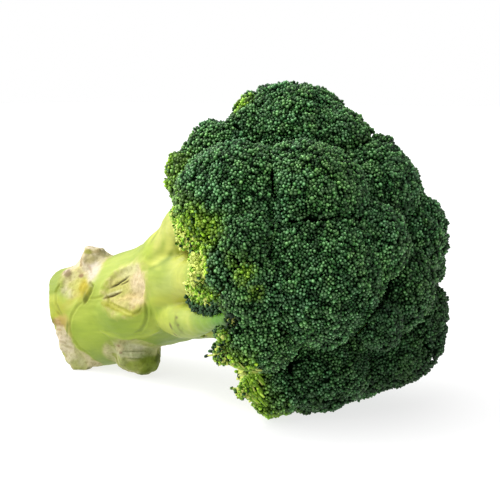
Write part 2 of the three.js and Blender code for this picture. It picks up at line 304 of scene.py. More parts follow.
PAD = ((51.0, -20.0), (19.5, 11.0), -7.0, 3.0)
SCAR = ((57.5, 12.5), (14.5, 10.6), 9.0, 2.3)
FAR_PAD = ((42.0, 150.0), (15.0, 10.5), 8.0, 3.0)
FAR_SCAR = ((44.0, 166.0), (11.0, 8.6), -6.0, 2.3)


def stalk_radius(p):
    x, y, z = p[..., 0], p[..., 1], p[..., 2]
    a = np.arctan2(z, y)
    deg = np.degrees(np.arctan2(z, -y))
    rad = np.interp(x, PROFILE[:, 0], PROFILE[:, 1])
    t = smooth(50, 92, x)
    rad = rad + 0.5 * np.sin(3 * a + 0.6) + 0.3 * np.sin(5 * a + 0.03 * x) + 0.9 * t * np.sin(7 * a + 0.8)
    rad = rad + 0.5 * N1(np.stack([x * 0.35, y, z], -1), 9.0)
    wob = 0.10 * N2(p, 6.0)
    # the swollen leaf bases, steep on the side towards the crown, and the scars above them
    for pad, scar, lift in ((PAD, SCAR, 2.9), (FAR_PAD, FAR_SCAR, 2.2)):
        q = patch(x, deg, pad[0], pad[1], pad[2], pad[3]) + wob
        rad = rad + lift * smooth(pad[0][0] - 21, pad[0][0] - 3, x) * np.sqrt(np.clip(1.0 - q ** 3, 0, 1))
        q = patch(x, deg, scar[0], scar[1], scar[2], scar[3]) + wob
        rad = rad - 1.3 * smooth(1.0, 0.82, q) - 0.5 * smooth(0.9, 0.2, q) + 0.55 * np.exp(-((q - 1.06) / 0.09) ** 2)
    # the strip torn away below the upper stub, and round the cut end
    q = patch(x, deg, (22, 27), (6.0, 9.5), -62, 2.4) + wob
    rad = rad - 0.9 * smooth(1.0, 0.7, q)
    q = patch(x, deg, (8.5, -30), (4.6, 15), 8, 3.0) + wob
    rad = rad - 0.8 * smooth(1.0, 0.75, q) + 0.7 * np.exp(-((q - 1.1) / 0.12) ** 2)
    # the cut end's rim stands out at its upper near corner
    rad = rad + 1.9 * smooth(1.0, 0.3, patch(x, deg, (2.0, 62), (14, 17))) + 1.3 * smooth(1.0, 0.3, patch(x, deg, (-1.0, 55), (6, 16)))
    # it is fuller below near the cut end and slimmer below towards the forks
    rad = rad + 2.4 * smooth(1.0, 0.1, patch(x, deg, (18, -82), (30, 26))) + 2.5 * smooth(1.0, 0.2, patch(x, deg, (5, -40), (10, 20)))
    return rad - 2.0 * smooth(1.0, 0.2, patch(x, deg, (78, -84), (30, 26))) + 0.8 * smooth(1.0, 0.2, patch(x, deg, (48, 86), (26, 18)))


def stalk_fn(p):
    x, y, z = p[..., 0], p[..., 1], p[..., 2]
    d = (np.hypot(y, z) - stalk_radius(p)) * 0.95
    end = -(x - 0.2 + 0.02 * y - 0.02 * z) + 0.25 * N2(p, 5.0)
    d = smax(d, end, 0.6)
    d = smax(d, (-x - 0.34 * (y + 11.0)) / 1.06 + 0.3 * N2(p, 4.0), 0.8)
    return smax(d, x - 106.0, 4.0)


put("stalk", stalk_fn, (-3, -30, -30), (108, 30, 30), 1.0)

# ridges that run down from the forks along the stalk


def on_stalk(x, deg, out=0.0):
    """a point at x along the stalk, at an angle (0 faces -Y, 90 faces up), out from its axis"""
    a = math.radians(deg)
    return np.array([x, -math.cos(a) * out, math.sin(a) * out])


for x0, x1, deg0, deg1, lift, r in (
    (56, 84, 74, 70, 19.0, 6.0), (72, 94, 36, 48, 20.6, 4.6), (74, 97, 14, 20, 21.4, 4.0),
    (73, 96, -12, -8, 21.2, 4.2), (74, 92, -34, -36, 20.8, 4.6), (58, 90, -66, -60, 18.4, 5.4),
    (48, 92, -95, -92, 18.0, 5.8), (50, 92, -128, -125, 19.6, 5.4), (52, 92, -160, -158, 19.2, 5.8),
    (50, 90, 168, 165, 19.4, 5.4), (54, 90, 140, 138, 19.2, 5.8), (48, 88, 108, 104, 18.8, 6.2),
):
    a = on_stalk(x0, deg0, lift - 1.2)
    b = on_stalk((x0 + x1) / 2, (deg0 + deg1) / 2, lift + 0.4)
    c = on_stalk(x1, deg1, lift + 3.0)
    put_limb("stalk", [a, b, c], [r * 0.8, r, r * 1.1], 4.0, 5)

# the shoulder that rises to the upper near branch
put_limb("branch_upper_near", [(72, -6, 15.8), (84, -11.5, 21.9), (93, -16.5, 26.0), (102, -20.5, 28.6), (115, -25.5, 30.5)], [7.0, 7.8, 7.4, 6.6, 5.5], 4.0)

branch_rng = np.random.default_rng(17)
for bname, (root, width, heads) in BRANCHES.items():
    root = np.array(root, float)
    cs = np.array([HC[HEAD_NAMES.index(h)] for h in heads])
    mean = cs.mean(0)
    split = root + 0.5 * (mean - root)
    away = root + 0.25 * (mean - root) + np.array([2.0, 0, 0])
    put_limb(bname, [root, away, split], [width, width * 0.9, width * 0.78], 5.0)
    for h in heads:
        i = HEAD_NAMES.index(h)
        w = min(width * 0.72, 0.4 * HR[i])
        c, out, R, back = HC[i], HOUT[i], HR[i], HBACK[i]
        base = c - out * (back * R - 1.0)
        mid = split + 0.5 * (base - split)
        mid = mid + branch_rng.uniform(-1.2, 1.2, 3)
        put_limb(bname, [split, mid, base], [w, w * 0.86, w * 0.95], 3.5)
        # branchlets that fan out under the buds
        ref = unit(np.cross(out, [0.31, 0.57, 0.76]))
        ref2 = np.cross(out, ref)
        n = 9 if HX[i] < 8 else 5
        for j in range(n):
            ang = 2 * math.pi * (j + branch_rng.uniform(-0.25, 0.25)) / n
            reach = R * branch_rng.uniform(0.52, 0.74)
            tip = c - out * (back * R - branch_rng.uniform(1.5, 4.0)) + reach * (math.cos(ang) * ref + math.sin(ang) * ref2)
            s = mid + (base - mid) * branch_rng.uniform(0.0, 0.5)
            e = 0.5 * (s + tip) - out * 1.5 + branch_rng.uniform(-0.8, 0.8, 3)
            rr = branch_rng.uniform(1.7, 2.6)
            put_limb(bname, [s, e, tip], [rr * 1.25, rr, rr * 0.85], 2.4, 3)

def stub_frame(deg):
    a = math.radians(deg)
    out = np.array([0, -math.cos(a), math.sin(a)])
    around = np.array([0, math.sin(a), math.cos(a)])
    return np.stack([np.array([1.0, 0, 0]), around, out]), out, around


def stump_fn(centre, basis, size, faces, power=2.6):
    """a leaf stalk broken off short: a rounded block cut by torn planes (point, normal)"""
    centre = np.asarray(centre, float)

    def fn(p):
        q = np.abs((p - centre) @ basis.T) / size
        k = (q ** power).sum(-1) ** (1 / power)
        d = (k - 1.0) * min(size)
        for pt, n in faces:
            d = smax(d, (p - np.asarray(pt, float)) @ unit(np.asarray(n, float)) + 0.55 * N2(p, 2.8) + 0.3 * N3(p, 1.3), 0.7)
        return d

    return fn


# x, angle, half sizes (along, around, out), lift, how square, blend, torn faces (point, outward normal)
STUBS = {
    "leaf_stub_upper": (23.0, 60, (12.0, 13.5, 13.5), 20.4, 3.2, 2.2,
                        [((26.9, -6.1, 29.9), facing(0.02, 1.0, 0.16)), ((21.1, -10.5, 27.3), facing(-0.93, 0.36, 0.22)),
                         ((30.2, -3.3, 27.4), facing(0.80, 0.58, 0.16)), ((24.0, -17.8, 16.4), (-0.14, -0.90, 0.34)),
                         ((27.5, -13.0, 25.0), facing(0.12, 0.34, 0.90))]),
    "leaf_stub_lower": (38, -76, (13.5, 12.5, 16.0), 21.0, 4.0, 1.5,
                        [((45.3, -0.2, -28.9), facing(0.97, 0.16, 0.10)), ((43.4, -1.4, -32.8), facing(0.88, -0.47, 0.20)),
                         ((39.2, -4.6, -35.9), facing(0.36, -0.93, 0.20)), ((33.6, -8.2, -32.6), facing(-0.42, -0.90, 0.25)),
                         ((33.2, -14.9, -21.8), facing(-0.93, -0.25, 0.25)),
                         ((36.5, -19.6, -22.5), facing(-0.10, 0.10, 0.99)), ((39.0, -17.4, -28.0), facing(0.06, -0.52, 0.85)),
                         ((46.0, -10.0, -26.0), facing(0.66, -0.05, 0.75))]),
    "leaf_stub_end": (8.5, -58, (7.2, 8.0, 11.5), 22.0, 3.0, 1.8,
                      [((6.1, -16.3, -28.7), facing(-0.06, -1.0, 0.20)), ((3.8, -18.5, -23.4), facing(-0.86, -0.50, 0.20)),
                       ((10.3, -13.0, -27.3), facing(0.86, -0.50, 0.20)), ((8.6, -18.2, -24.0), facing(-0.10, -0.24, 0.96))]),
}
for name, (x, deg, size, lift, power, k, faces) in STUBS.items():
    basis, out, around = stub_frame(deg)
    c = np.array([x, 0, 0]) + out * lift
    rad = max(size)
    put(name, stump_fn(c, basis, size, faces, power), c - rad, c + rad, k)
# the upper one's torn tip runs on low towards the cut end
basis, out, around = stub_frame(50)
c = np.array([14.0, 0, 0]) + out * 21.5
put("leaf_stub_upper", stump_fn(c, basis, (7.5, 9.5, 5.6), [((16.4, -14.0, 24.0), facing(-0.45, 0.89, 0.3)), ((15.0, -19.0, 18.0), facing(-0.2, 0.1, 0.97))], 2.6),
    c - 9, c + 9, 2.0)

# the leaf bases that are part of the stalk's own swelling belong to their own pieces
for name, pad, scar in (("leaf_stub_centre", PAD, SCAR), ("leaf_stub_far", FAR_PAD, FAR_SCAR)):
    STEM_NODES.append(name)
    sl, p = window((20, -36, -36), (80, 36, 36))
    deg = np.degrees(np.arctan2(p[..., 2], -p[..., 1]))
    q = np.minimum(patch(p[..., 0], deg, pad[0], pad[1], pad[2], pad[3]) - 1.04,
                   patch(p[..., 0], deg, scar[0], scar[1], scar[2], scar[3]) - 1.16)
    m = (q < 0) & (np.hypot(p[..., 1], p[..., 2]) > 14) & (OWNER[sl] == STEM_NODES.index("stalk"))
    OWNER[sl][m] = STEM_NODES.index(name)

# keep it all above the ground
g = np.meshgrid(*axis, indexing="ij")
FIELD = smax(FIELD, -(g[0] * SL + g[2] * CL + ORIGIN[2] - 0.15), 0.8)
del g

# stems that would poke out through the buds stop short inside the heads
best = np.full(DIM, 1e3, dtype=np.float32)
inside = np.zeros(DIM, dtype=bool)
for c, o, r, bk in zip(HC, HOUT, HR, HBACK):
    sl, p = window(c - r - 8, c + r + 8)
    d = np.linalg.norm(p - c, axis=-1)
    best[sl] = np.minimum(best[sl], d - (r - 3.6))
    inside[sl] |= ((p - c) @ o > -bk * r) & (d < r + 8)
FIELD = np.where(inside, np.maximum(FIELD, best), FIELD)
# and what lies deep in a head is left out
buried = np.zeros(DIM, dtype=bool)
for c, o, r, bk in zip(HC, HOUT, HR, HBACK):
    sl, p = window(c - r, c + r)
    buried[sl] |= ((p - c) @ o > -bk * r + 2.2) & (np.linalg.norm(p - c, axis=-1) < r - 5.4)
del inside, best

# the thin side branch low on the near side, which runs into a gap between two heads, and the
# scale leaf at its foot
SIDE_PATH = np.array([(75, -16, -12), (86, -21.5, -14.6), (94.5, -26.2, -16.4), (105.5, -32.2, -17.8), (119.3, -39.2, -18.4), (129.2, -44.4, -19.3), (140.5, -49.9, -19.8)])
SIDE_R = [7.2, 8.2, 7.4, 5.6, 3.4, 3.0, 2.6]
put_limb("side_branch", SIDE_PATH, SIDE_R, 1.7, 16)
put_limb("side_branch", [(85, -26.3, -8.0), (86.5, -26.4, -13.0), (89.5, -24.0, -19.4), (94, -19.5, -24.4)], [0.9, 1.3, 1.4, 1.0], 0.9, 6)


def surface_nets(F):
    """the zero surface of F as quads, with the grid cell of every vertex"""
    neg = F < 0
    c = np.zeros(tuple(np.array(F.shape) - 1), dtype=np.int8)
    corners = [(i, j, k) for i in (0, 1) for j in (0, 1) for k in (0, 1)]
    nx, ny, nz = c.shape
    for i, j, k in corners:
        c += neg[i:i + nx, j:j + ny, k:k + nz]
    cell = np.argwhere((c > 0) & (c < 8))
    index = np.full(c.shape, -1, dtype=np.int64)
    index[tuple(cell.T)] = np.arange(len(cell))
    vals = np.stack([F[cell[:, 0] + i, cell[:, 1] + j, cell[:, 2] + k] for i, j, k in corners], 1)
    pos = np.zeros((len(cell), 3))
    cnt = np.zeros(len(cell))
    for a in range(8):
        for b in range(a + 1, 8):
            da = np.subtract(corners[b], corners[a])
            if np.abs(da).sum() != 1:
                continue
            fa, fb = vals[:, a], vals[:, b]
            m = (fa < 0) != (fb < 0)
            t = np.where(m, fa / np.where(m, fa - fb, 1), 0)
            pos += np.where(m[:, None], np.array(corners[a]) + t[:, None] * da, 0)
            cnt += m
    pos = pos / cnt[:, None] + cell
    quads = []
    for ax in range(3):
        u, v = (ax + 1) % 3, (ax + 2) % 3
        s = [slice(None)] * 3
        s0, s1 = list(s), list(s)
        s0[ax], s1[ax] = slice(0, -1), slice(1, None)
        change = neg[tuple(s0)] != neg[tuple(s1)]
        e = np.argwhere(change)
        ok = (e[:, u] > 0) & (e[:, v] > 0) & (e[:, u] < F.shape[u] - 1) & (e[:, v] < F.shape[v] - 1)
        e = e[ok]
        q = []
        for du, dv in ((1, 1), (0, 1), (0, 0), (1, 0)):
            f = e.copy()
            f[:, u] -= du
            f[:, v] -= dv
            q.append(index[tuple(f.T)])
        q = np.stack(q, 1)
        flip = ~neg[tuple(e.T)]
        q[flip] = q[flip][:, ::-1]
        quads.append(q)
    quads = np.concatenate(quads)
    quads = quads[(quads >= 0).all(1)]
    return pos, quads, cell


def field_at(F, q):
    """trilinear sample of a grid at grid coordinates q"""
    q = np.clip(q, 0, np.array(F.shape) - 1.001)
    i = q.astype(int)
    f = q - i
    out = 0.0
    for dx in (0, 1):
        for dy in (0, 1):
            for dz in (0, 1):
                w = (f[:, 0] if dx else 1 - f[:, 0]) * (f[:, 1] if dy else 1 - f[:, 1]) * (f[:, 2] if dz else 1 - f[:, 2])
                out = out + w * F[i[:, 0] + dx, i[:, 1] + dy, i[:, 2] + dz]
    return out


def gradient_at(F, q):
    g = np.zeros((len(q), 3))
    for a in range(3):
        d = np.zeros(3)
        d[a] = 0.6
        g[:, a] = field_at(F, q + d) - field_at(F, q - d)
    return unit(g)


def relax(pos, faces, rounds, amount):
    """even out the vertices by moving each one towards the middle of its neighbours"""
    a = faces.ravel()
    b = np.roll(faces, -1, axis=1).ravel()
    for _ in range(rounds):
        s = np.zeros_like(pos)
        n = np.zeros(len(pos))
        for p, q in ((a, b), (b, a)):
            for k in range(3):
                s[:, k] += np.bincount(p, weights=pos[q, k], minlength=len(pos))
            n += np.bincount(p, minlength=len(pos))
        pos = pos + amount * (s / np.maximum(n, 1)[:, None] - pos)
    return pos


spos, squads, scell = surface_nets(FIELD)
spos = relax(spos, squads, 2, 0.5)
snorm = gradient_at(FIELD, spos)
spos = spos - snorm * (field_at(FIELD, spos) / VOX)[:, None] * 0.8
spos = relax(spos, squads, 1, 0.3)


def components(n, faces):
    parent = np.arange(n)
    a = faces.ravel()
    b = np.roll(faces, -1, axis=1).ravel()
    while True:
        m = np.minimum(parent[a], parent[b])
        new = parent.copy()
        np.minimum.at(new, a, m)
        np.minimum.at(new, b, m)
        new = new[new]
        if np.array_equal(new, parent):
            return parent
        parent = new


# keep the one connected body of stems, and leave out what is buried deep in the buds
comp = components(len(spos), squads)
main = np.bincount(comp).argmax()
squads = squads[comp[squads[:, 0]] == main]
hid = buried[tuple(np.round(spos).astype(int).T)]
squads = squads[~hid[squads].all(1)]
fowner = OWNER[tuple(np.round(spos[squads].mean(1)).astype(int).T)]
# tidy the borders between pieces
for _ in range(3):
    vo = np.zeros((len(spos), len(STEM_NODES)), dtype=np.int16)
    for k in range(4):
        np.add.at(vo, (squads[:, k], fowner), 1)
    fowner = vo[squads].sum(1).argmax(1)


def split_quads(pos, quads, extra, mask):
    """divide the masked quads in four"""
    q = quads[mask]
    e = np.sort(np.stack([q, np.roll(q, -1, axis=1)], -1).reshape(-1, 2), axis=1)
    u, inv = np.unique(e, axis=0, return_inverse=True)
    inv = inv.reshape(-1, 4) + len(pos)
    mid = pos[u].mean(1)
    cen = pos[q].mean(1)
    ci = np.arange(len(q)) + len(pos) + len(u)
    out = []
    for k in range(4):
        out.append(np.stack([q[:, k], inv[:, k], ci, inv[:, k - 1]], 1))
    return (np.concatenate([pos, mid, cen]), np.concatenate([quads[~mask]] + out),
            np.concatenate([extra[~mask]] + [extra[mask]] * 4))


fc_ = LO + spos[squads].mean(1) * VOX
near_side = (fc_[:, 0] < 76) & (fc_ @ np.array([0.62, -0.78, -0.05]) > fc_[:, 0] * 0.62 - 2.0) & (fc_[:, 0] > -1)
detail = near_side | np.isin(fowner, [STEM_NODES.index(n) for n in ("leaf_stub_upper", "leaf_stub_centre", "leaf_stub_lower", "leaf_stub_end")])
spos, squads, fowner = split_quads(spos, squads, fowner, detail)
SP = LO + spos * VOX


def vertex_normals(P, Q):
    n = np.cross(P[Q[:, 2]] - P[Q[:, 0]], P[Q[:, 3]] - P[Q[:, 1]])
    out = np.zeros_like(P)
    for k in range(4):
        for a_ in range(3):
            out[:, a_] += np.bincount(Q[:, k], weights=n[:, a_], minlength=len(P))
    return unit(out)


snorm = vertex_normals(SP, squads)

# ---- paint and fine relief
X = SP[:, 0]
RAD = np.hypot(SP[:, 1], SP[:, 2])
DEG = np.degrees(np.arctan2(SP[:, 2], -SP[:, 1]))
PR = np.interp(X, PROFILE[:, 0], PROFILE[:, 1])
SHADE = 0.66


def tint(r, g, b):
    """sRGB bytes to a linear albedo"""
    c = np.array([r, g, b]) / 255.0
    return np.where(c <= 0.04045, c / 12.92, ((c + 0.055) / 1.055) ** 2.4) * SHADE


def blend(col, c, m):
    return col + (tint(*c) - col) * m[:, None]


w1 = smooth(-0.35, 0.45, N1(SP * np.array([0.45, 1, 1]), 12.0))
w2 = smooth(-0.3, 0.5, N2(SP * np.array([0.3, 1, 1]), 7.0))
w3 = smooth(0.0, 0.7, N3(SP * np.array([0.5, 1, 1]), 10.0))
col = np.tile(tint(180, 198, 80), (len(SP), 1))
col = blend(col, (164, 188, 64), 0.75 * w1)
col = blend(col, (202, 214, 112), 0.6 * w2)
col = blend(col, (208, 214, 84), 0.35 * w3)
# ridges running up to the forks are yellower and lighter, the lighter part a painted highlight; the hollows between
# them are greener and darker, a painted shade
crest_highlight = smooth(0.2, 2.0, RAD - PR) * smooth(58, 80, X)
col = blend(col, (216, 222, 118), 0.6 * crest_highlight)
col = blend(col, (158, 182, 62), 0.5 * smooth(-0.1, -1.4, RAD - PR) * smooth(58, 80, X))
col = blend(col, (166, 192, 92), 0.7 * smooth(94, 122, X))
col = blend(col, (132, 168, 60), 0.6 * smooth(112, 136, X))

on_side = np.zeros(len(SP), dtype=bool)
on_side[squads[fowner == STEM_NODES.index("side_branch")].ravel()] = True
col = blend(col, (158, 186, 92), 0.6 * on_side * smooth(84, 92, X))
col = blend(col, (150, 190, 74), 0.8 * on_side * smooth(104, 118, X))
col = blend(col, (104, 168, 40), 0.9 * on_side * smooth(116, 128, X))

# x, angle, half sizes along and round (mm), turn, colour, strength, softness
MARKS = [
    # the cut end's rim and the band torn round it; the light green patch above the band is a painted highlight, and the
    # dark olive spot at the notch by the end is painted shade
    (7, 46, 8, 8, 0, (164, 182, 52), 0.75, 0.6), (15, 17, 8, 4.5, 12, (190, 218, 108), 0.7, 0.6),
    (9, 15, 5.5, 6.5, 40, (204, 205, 70), 0.85, 0.5), (9.5, 12, 0.7, 5.5, 35, (150, 148, 45), 0.6, 0.6),
    (12, -4, 4.6, 4.0, 0, (224, 196, 140), 0.9, 0.35), (9.8, -13, 4.6, 5.0, 0, (228, 206, 160), 0.95, 0.3),
    (8.4, -24, 4.4, 5.4, 0, (224, 214, 172), 0.95, 0.3), (7.6, -35, 4.2, 5.6, 0, (226, 214, 176), 0.95, 0.3),
    (7.0, -47, 4.0, 6.0, 0, (222, 214, 164), 0.95, 0.3), (6.0, -58, 4.2, 5.0, 0, (206, 206, 134), 0.9, 0.4),
    (9.4, -7, 3.2, 1.3, 0, (214, 172, 120), 0.6, 0.7),
    (9.0, -27, 1.3, 0.8, 0, (160, 140, 96), 0.7, 0.6), (12.0, -24, 0.9, 0.8, 0, (172, 150, 104), 0.6, 0.6),
    (7.5, -41, 1.6, 0.6, 30, (186, 168, 118), 0.6, 0.6), (3.6, 0, 1.7, 1.6, 0, (104, 108, 46), 0.9, 0.5),
    # below the upper stub
    (20, 28, 7.5, 5.0, -50, (206, 207, 112), 0.85, 0.4), (28, 17, 3.0, 4.2, -62, (202, 206, 108), 0.75, 0.5),
    (26.5, 28, 4.6, 6.2, -60, (206, 204, 52), 0.9, 0.4), (27.5, 27, 2.2, 2.6, 0, (196, 184, 18), 0.85, 0.6),
        (17, 13, 3.6, 2.6, 0, (206, 196, 98), 0.6, 0.7),
    # painted light on the swelling; the leaf base's own green; a light line and dark creases along its lower edge that
    # are painted highlight and painted shade; and painted shade low on the stalk's near side
    (28, -12, 10, 8.5, -20, (198, 216, 96), 0.7, 0.7), (50, -20, 18.5, 10.0, -8, (160, 184, 56), 0.75, 0.5),
    (47, -16, 9, 5, -10, (150, 178, 50), 0.5, 0.7), (62, -24, 5, 6, 0, (172, 192, 62), 0.5, 0.7),
    (37, -29, 8.0, 0.8, -12, (206, 220, 98), 0.7, 0.5), (43, -34.5, 7.0, 2.4, -18, (146, 170, 44), 0.5, 0.7),
    (72.8, -14, 1.0, 6.0, 0, (200, 214, 100), 0.5, 0.6), (44, -47, 10, 1.3, 4, (118, 138, 52), 0.8, 0.5),
    (20, -60, 16, 7, 0, (140, 166, 88), 0.6, 0.7), (64, -62, 14, 6, 0, (140, 164, 84), 0.5, 0.7),
    (50, -70, 40, 7, 0, (128, 152, 84), 0.45, 0.7),
    # the scar on the leaf base
    (58, 12.5, 16.0, 11.8, 9, (220, 218, 142), 0.9, 0.22), (57.5, 12.5, 13.6, 9.8, 9, (216, 206, 130), 0.9, 0.28),
    (65.6, 13, 5.6, 9.6, 8, (236, 218, 174), 0.95, 0.45), (64, -3, 5.2, 4.0, 0, (232, 212, 166), 0.85, 0.5),
    (52, 17, 6.0, 4.6, 20, (212, 212, 116), 0.75, 0.6), (60, 33, 7.5, 2.8, 5, (228, 228, 164), 0.75, 0.5),
    (59, 4, 5.5, 1.8, 0, (224, 198, 142), 0.6, 0.7),
    (52.5, 23.6, 6.4, 0.50, 14, (82, 72, 22), 0.95, 0.5), (56.0, 21.4, 3.0, 0.42, 10, (112, 98, 40), 0.8, 0.6),
    # the pale line just above the lower slit is a painted highlight
    (48.2, 13.2, 5.0, 0.7, 5, (240, 236, 184), 0.85, 0.5), (48.0, 10.6, 5.2, 0.50, 5, (118, 94, 50), 0.9, 0.5),
    (43.5, 3.5, 3.2, 1.3, -25, (176, 176, 34), 0.8, 0.5), (48.5, -3, 4.2, 1.3, -32, (178, 180, 38), 0.85, 0.5),
    (54.5, -9.5, 4.6, 1.4, -26, (182, 184, 46), 0.85, 0.5), (62, -14, 5.2, 1.4, -3, (174, 176, 48), 0.8, 0.5),
    (52.5, -5.2, 6.5, 1.1, -28, (226, 222, 124), 0.85, 0.5), (62, -9.5, 1.5, 0.9, 0, (178, 150, 96), 0.6, 0.6),
    # towards the forks
    (82, -10, 10, 2.3, -3, (206, 212, 82), 0.8, 0.6), (89, 5, 10, 3.6, 0, (186, 200, 128), 0.7, 0.6),
    (84, 20, 5.5, 5.0, 0, (162, 184, 60), 0.75, 0.6), (78.5, 28, 1.5, 7.0, 62, (224, 230, 122), 0.85, 0.6),
    (84, 43, 6.5, 3.2, 40, (222, 222, 134), 0.75, 0.6), (74.5, 44, 3.5, 5.0, 40, (186, 208, 52), 0.7, 0.6),
    (77, 56, 5.0, 1.4, 35, (232, 236, 120), 0.8, 0.5), (79.5, 52, 4.0, 0.7, 35, (150, 158, 40), 0.6, 0.6),
    (92, -14, 3.4, 3.0, 0, (222, 216, 116), 0.6, 0.7),
    (87, -28, 1.0, 1.0, 0, (112, 100, 36), 0.85, 0.5), (86, -36, 1.0, 1.0, 0, (112, 100, 36), 0.85, 0.5),
    (91, -45, 1.0, 7.0, 20, (138, 156, 60), 0.6, 0.6), (101, 12, 6, 16, 0, (222, 224, 132), 0.8, 0.6),
    (96, 34, 7, 8, 0, (224, 226, 136), 0.75, 0.6), (101, 20, 2, 2.5, 0, (196, 200, 100), 0.6, 0.6),
    # the far side
    (45, 166, 10.5, 8.2, -6, (222, 208, 146), 0.92, 0.25), (47, 168, 5, 6, 0, (232, 214, 170), 0.8, 0.5),
    (42, 169, 4.5, 0.6, 12, (112, 92, 44), 0.85, 0.5), (43.5, 162, 4.0, 0.55, 4, (126, 104, 56), 0.8, 0.5),
    (42, 148, 12, 8.5, 8, (164, 188, 60), 0.6, 0.6), (56.0, 152, 0.9, 6.0, 0, (124, 144, 38), 0.75, 0.5),
    (66, 110, 12, 2.0, 4, (210, 218, 100), 0.6, 0.6), (24, 110, 12, 6, 0, (196, 212, 104), 0.5, 0.7),
    (26, -140, 12, 7, 0, (158, 184, 62), 0.5, 0.7), (14, 175, 9, 7, 0, (202, 214, 110), 0.5, 0.7),
    (58, -120, 9, 1.4, 8, (206, 216, 104), 0.6, 0.6), (30, -168, 1.2, 2.2, 0, (170, 142, 84), 0.7, 0.6),
]
NW = 0.16 * N3(SP, 2.4) + 0.10 * N2(SP, 1.1)
for x, ang, hx, ha, turn, rgb, strength, soft in MARKS:
    q = patch(X, DEG, (x, ang), (hx, ha), turn) + NW * (1.0 if min(hx, ha) > 1.5 else 0.5)
    m = strength * smooth(1.0 + soft, 1.0 - soft, q)
    m[(X > 112)] = 0
    col = blend(col, rgb, m)

side = smooth(1.15, 0.85, patch(X, DEG, SCAR[0], SCAR[1], SCAR[2]) + NW) + smooth(1.15, 0.85, patch(X, DEG, FAR_SCAR[0], FAR_SCAR[1], FAR_SCAR[2]) + NW)
strip = smooth(1.15, 0.85, patch(X, DEG, (8.5, -30), (4.4, 15.5), 8, 3.0) + NW)
dry = np.clip(side + strip, 0, 1)

# broken stumps: the torn faces are beige and fibrous, greener towards the skin
vown = np.zeros(len(SP), dtype=int)
vown[squads.ravel()] = np.repeat(fowner, 4)
TORN = {
    "leaf_stub_upper": [(230, 214, 158), (236, 222, 204), (206, 206, 110), (152, 126, 84)],
    "leaf_stub_lower": [(190, 196, 128), (226, 216, 172), (164, 180, 66), (130, 120, 66)],
    "leaf_stub_end": [(206, 206, 140), (224, 214, 168), (176, 186, 80), (120, 116, 60)],
}
torn_all = np.zeros(len(SP))
for name, (x, deg, size, lift, power, k, faces) in STUBS.items():
    basis, out, around = stub_frame(deg)
    c = np.array([x, 0, 0]) + out * lift
    q = np.abs((SP - c) @ basis.T) / (np.array(size) * 1.12)
    body = smooth(1.12, 0.96, (q ** 2.6).sum(-1) ** (1 / 2.6)) * smooth(22.0, 25.5, RAD)
    d = np.full(len(SP), -9.0)
    for pt, n in faces:
        d = np.maximum(d, (SP - np.asarray(pt, float)) @ unit(np.asarray(n, float)))
    torn = smooth(-2.3, -0.9, d + 0.7 * NW * 5) * body
    skin = body * (1 - torn)
    main_c, pale_c, green_c, dark_c = TORN[name]
    col = blend(col, green_c, 0.75 * skin * smooth(PR[0] - 1, PR[0] + 4, RAD))
    k = smooth(-0.5, 0.5, N1(SP, 6.0))
    col = blend(col, main_c, 0.95 * torn)
    col = blend(col, pale_c, 0.8 * torn * k)
    col = blend(col, green_c, 0.75 * torn * smooth(0.1, 0.55, N2(SP, 4.2)))
    col = blend(col, dark_c, 0.65 * torn * smooth(0.42, 0.62, N3(SP, 2.6)))
    torn_all = np.maximum(torn_all, torn)
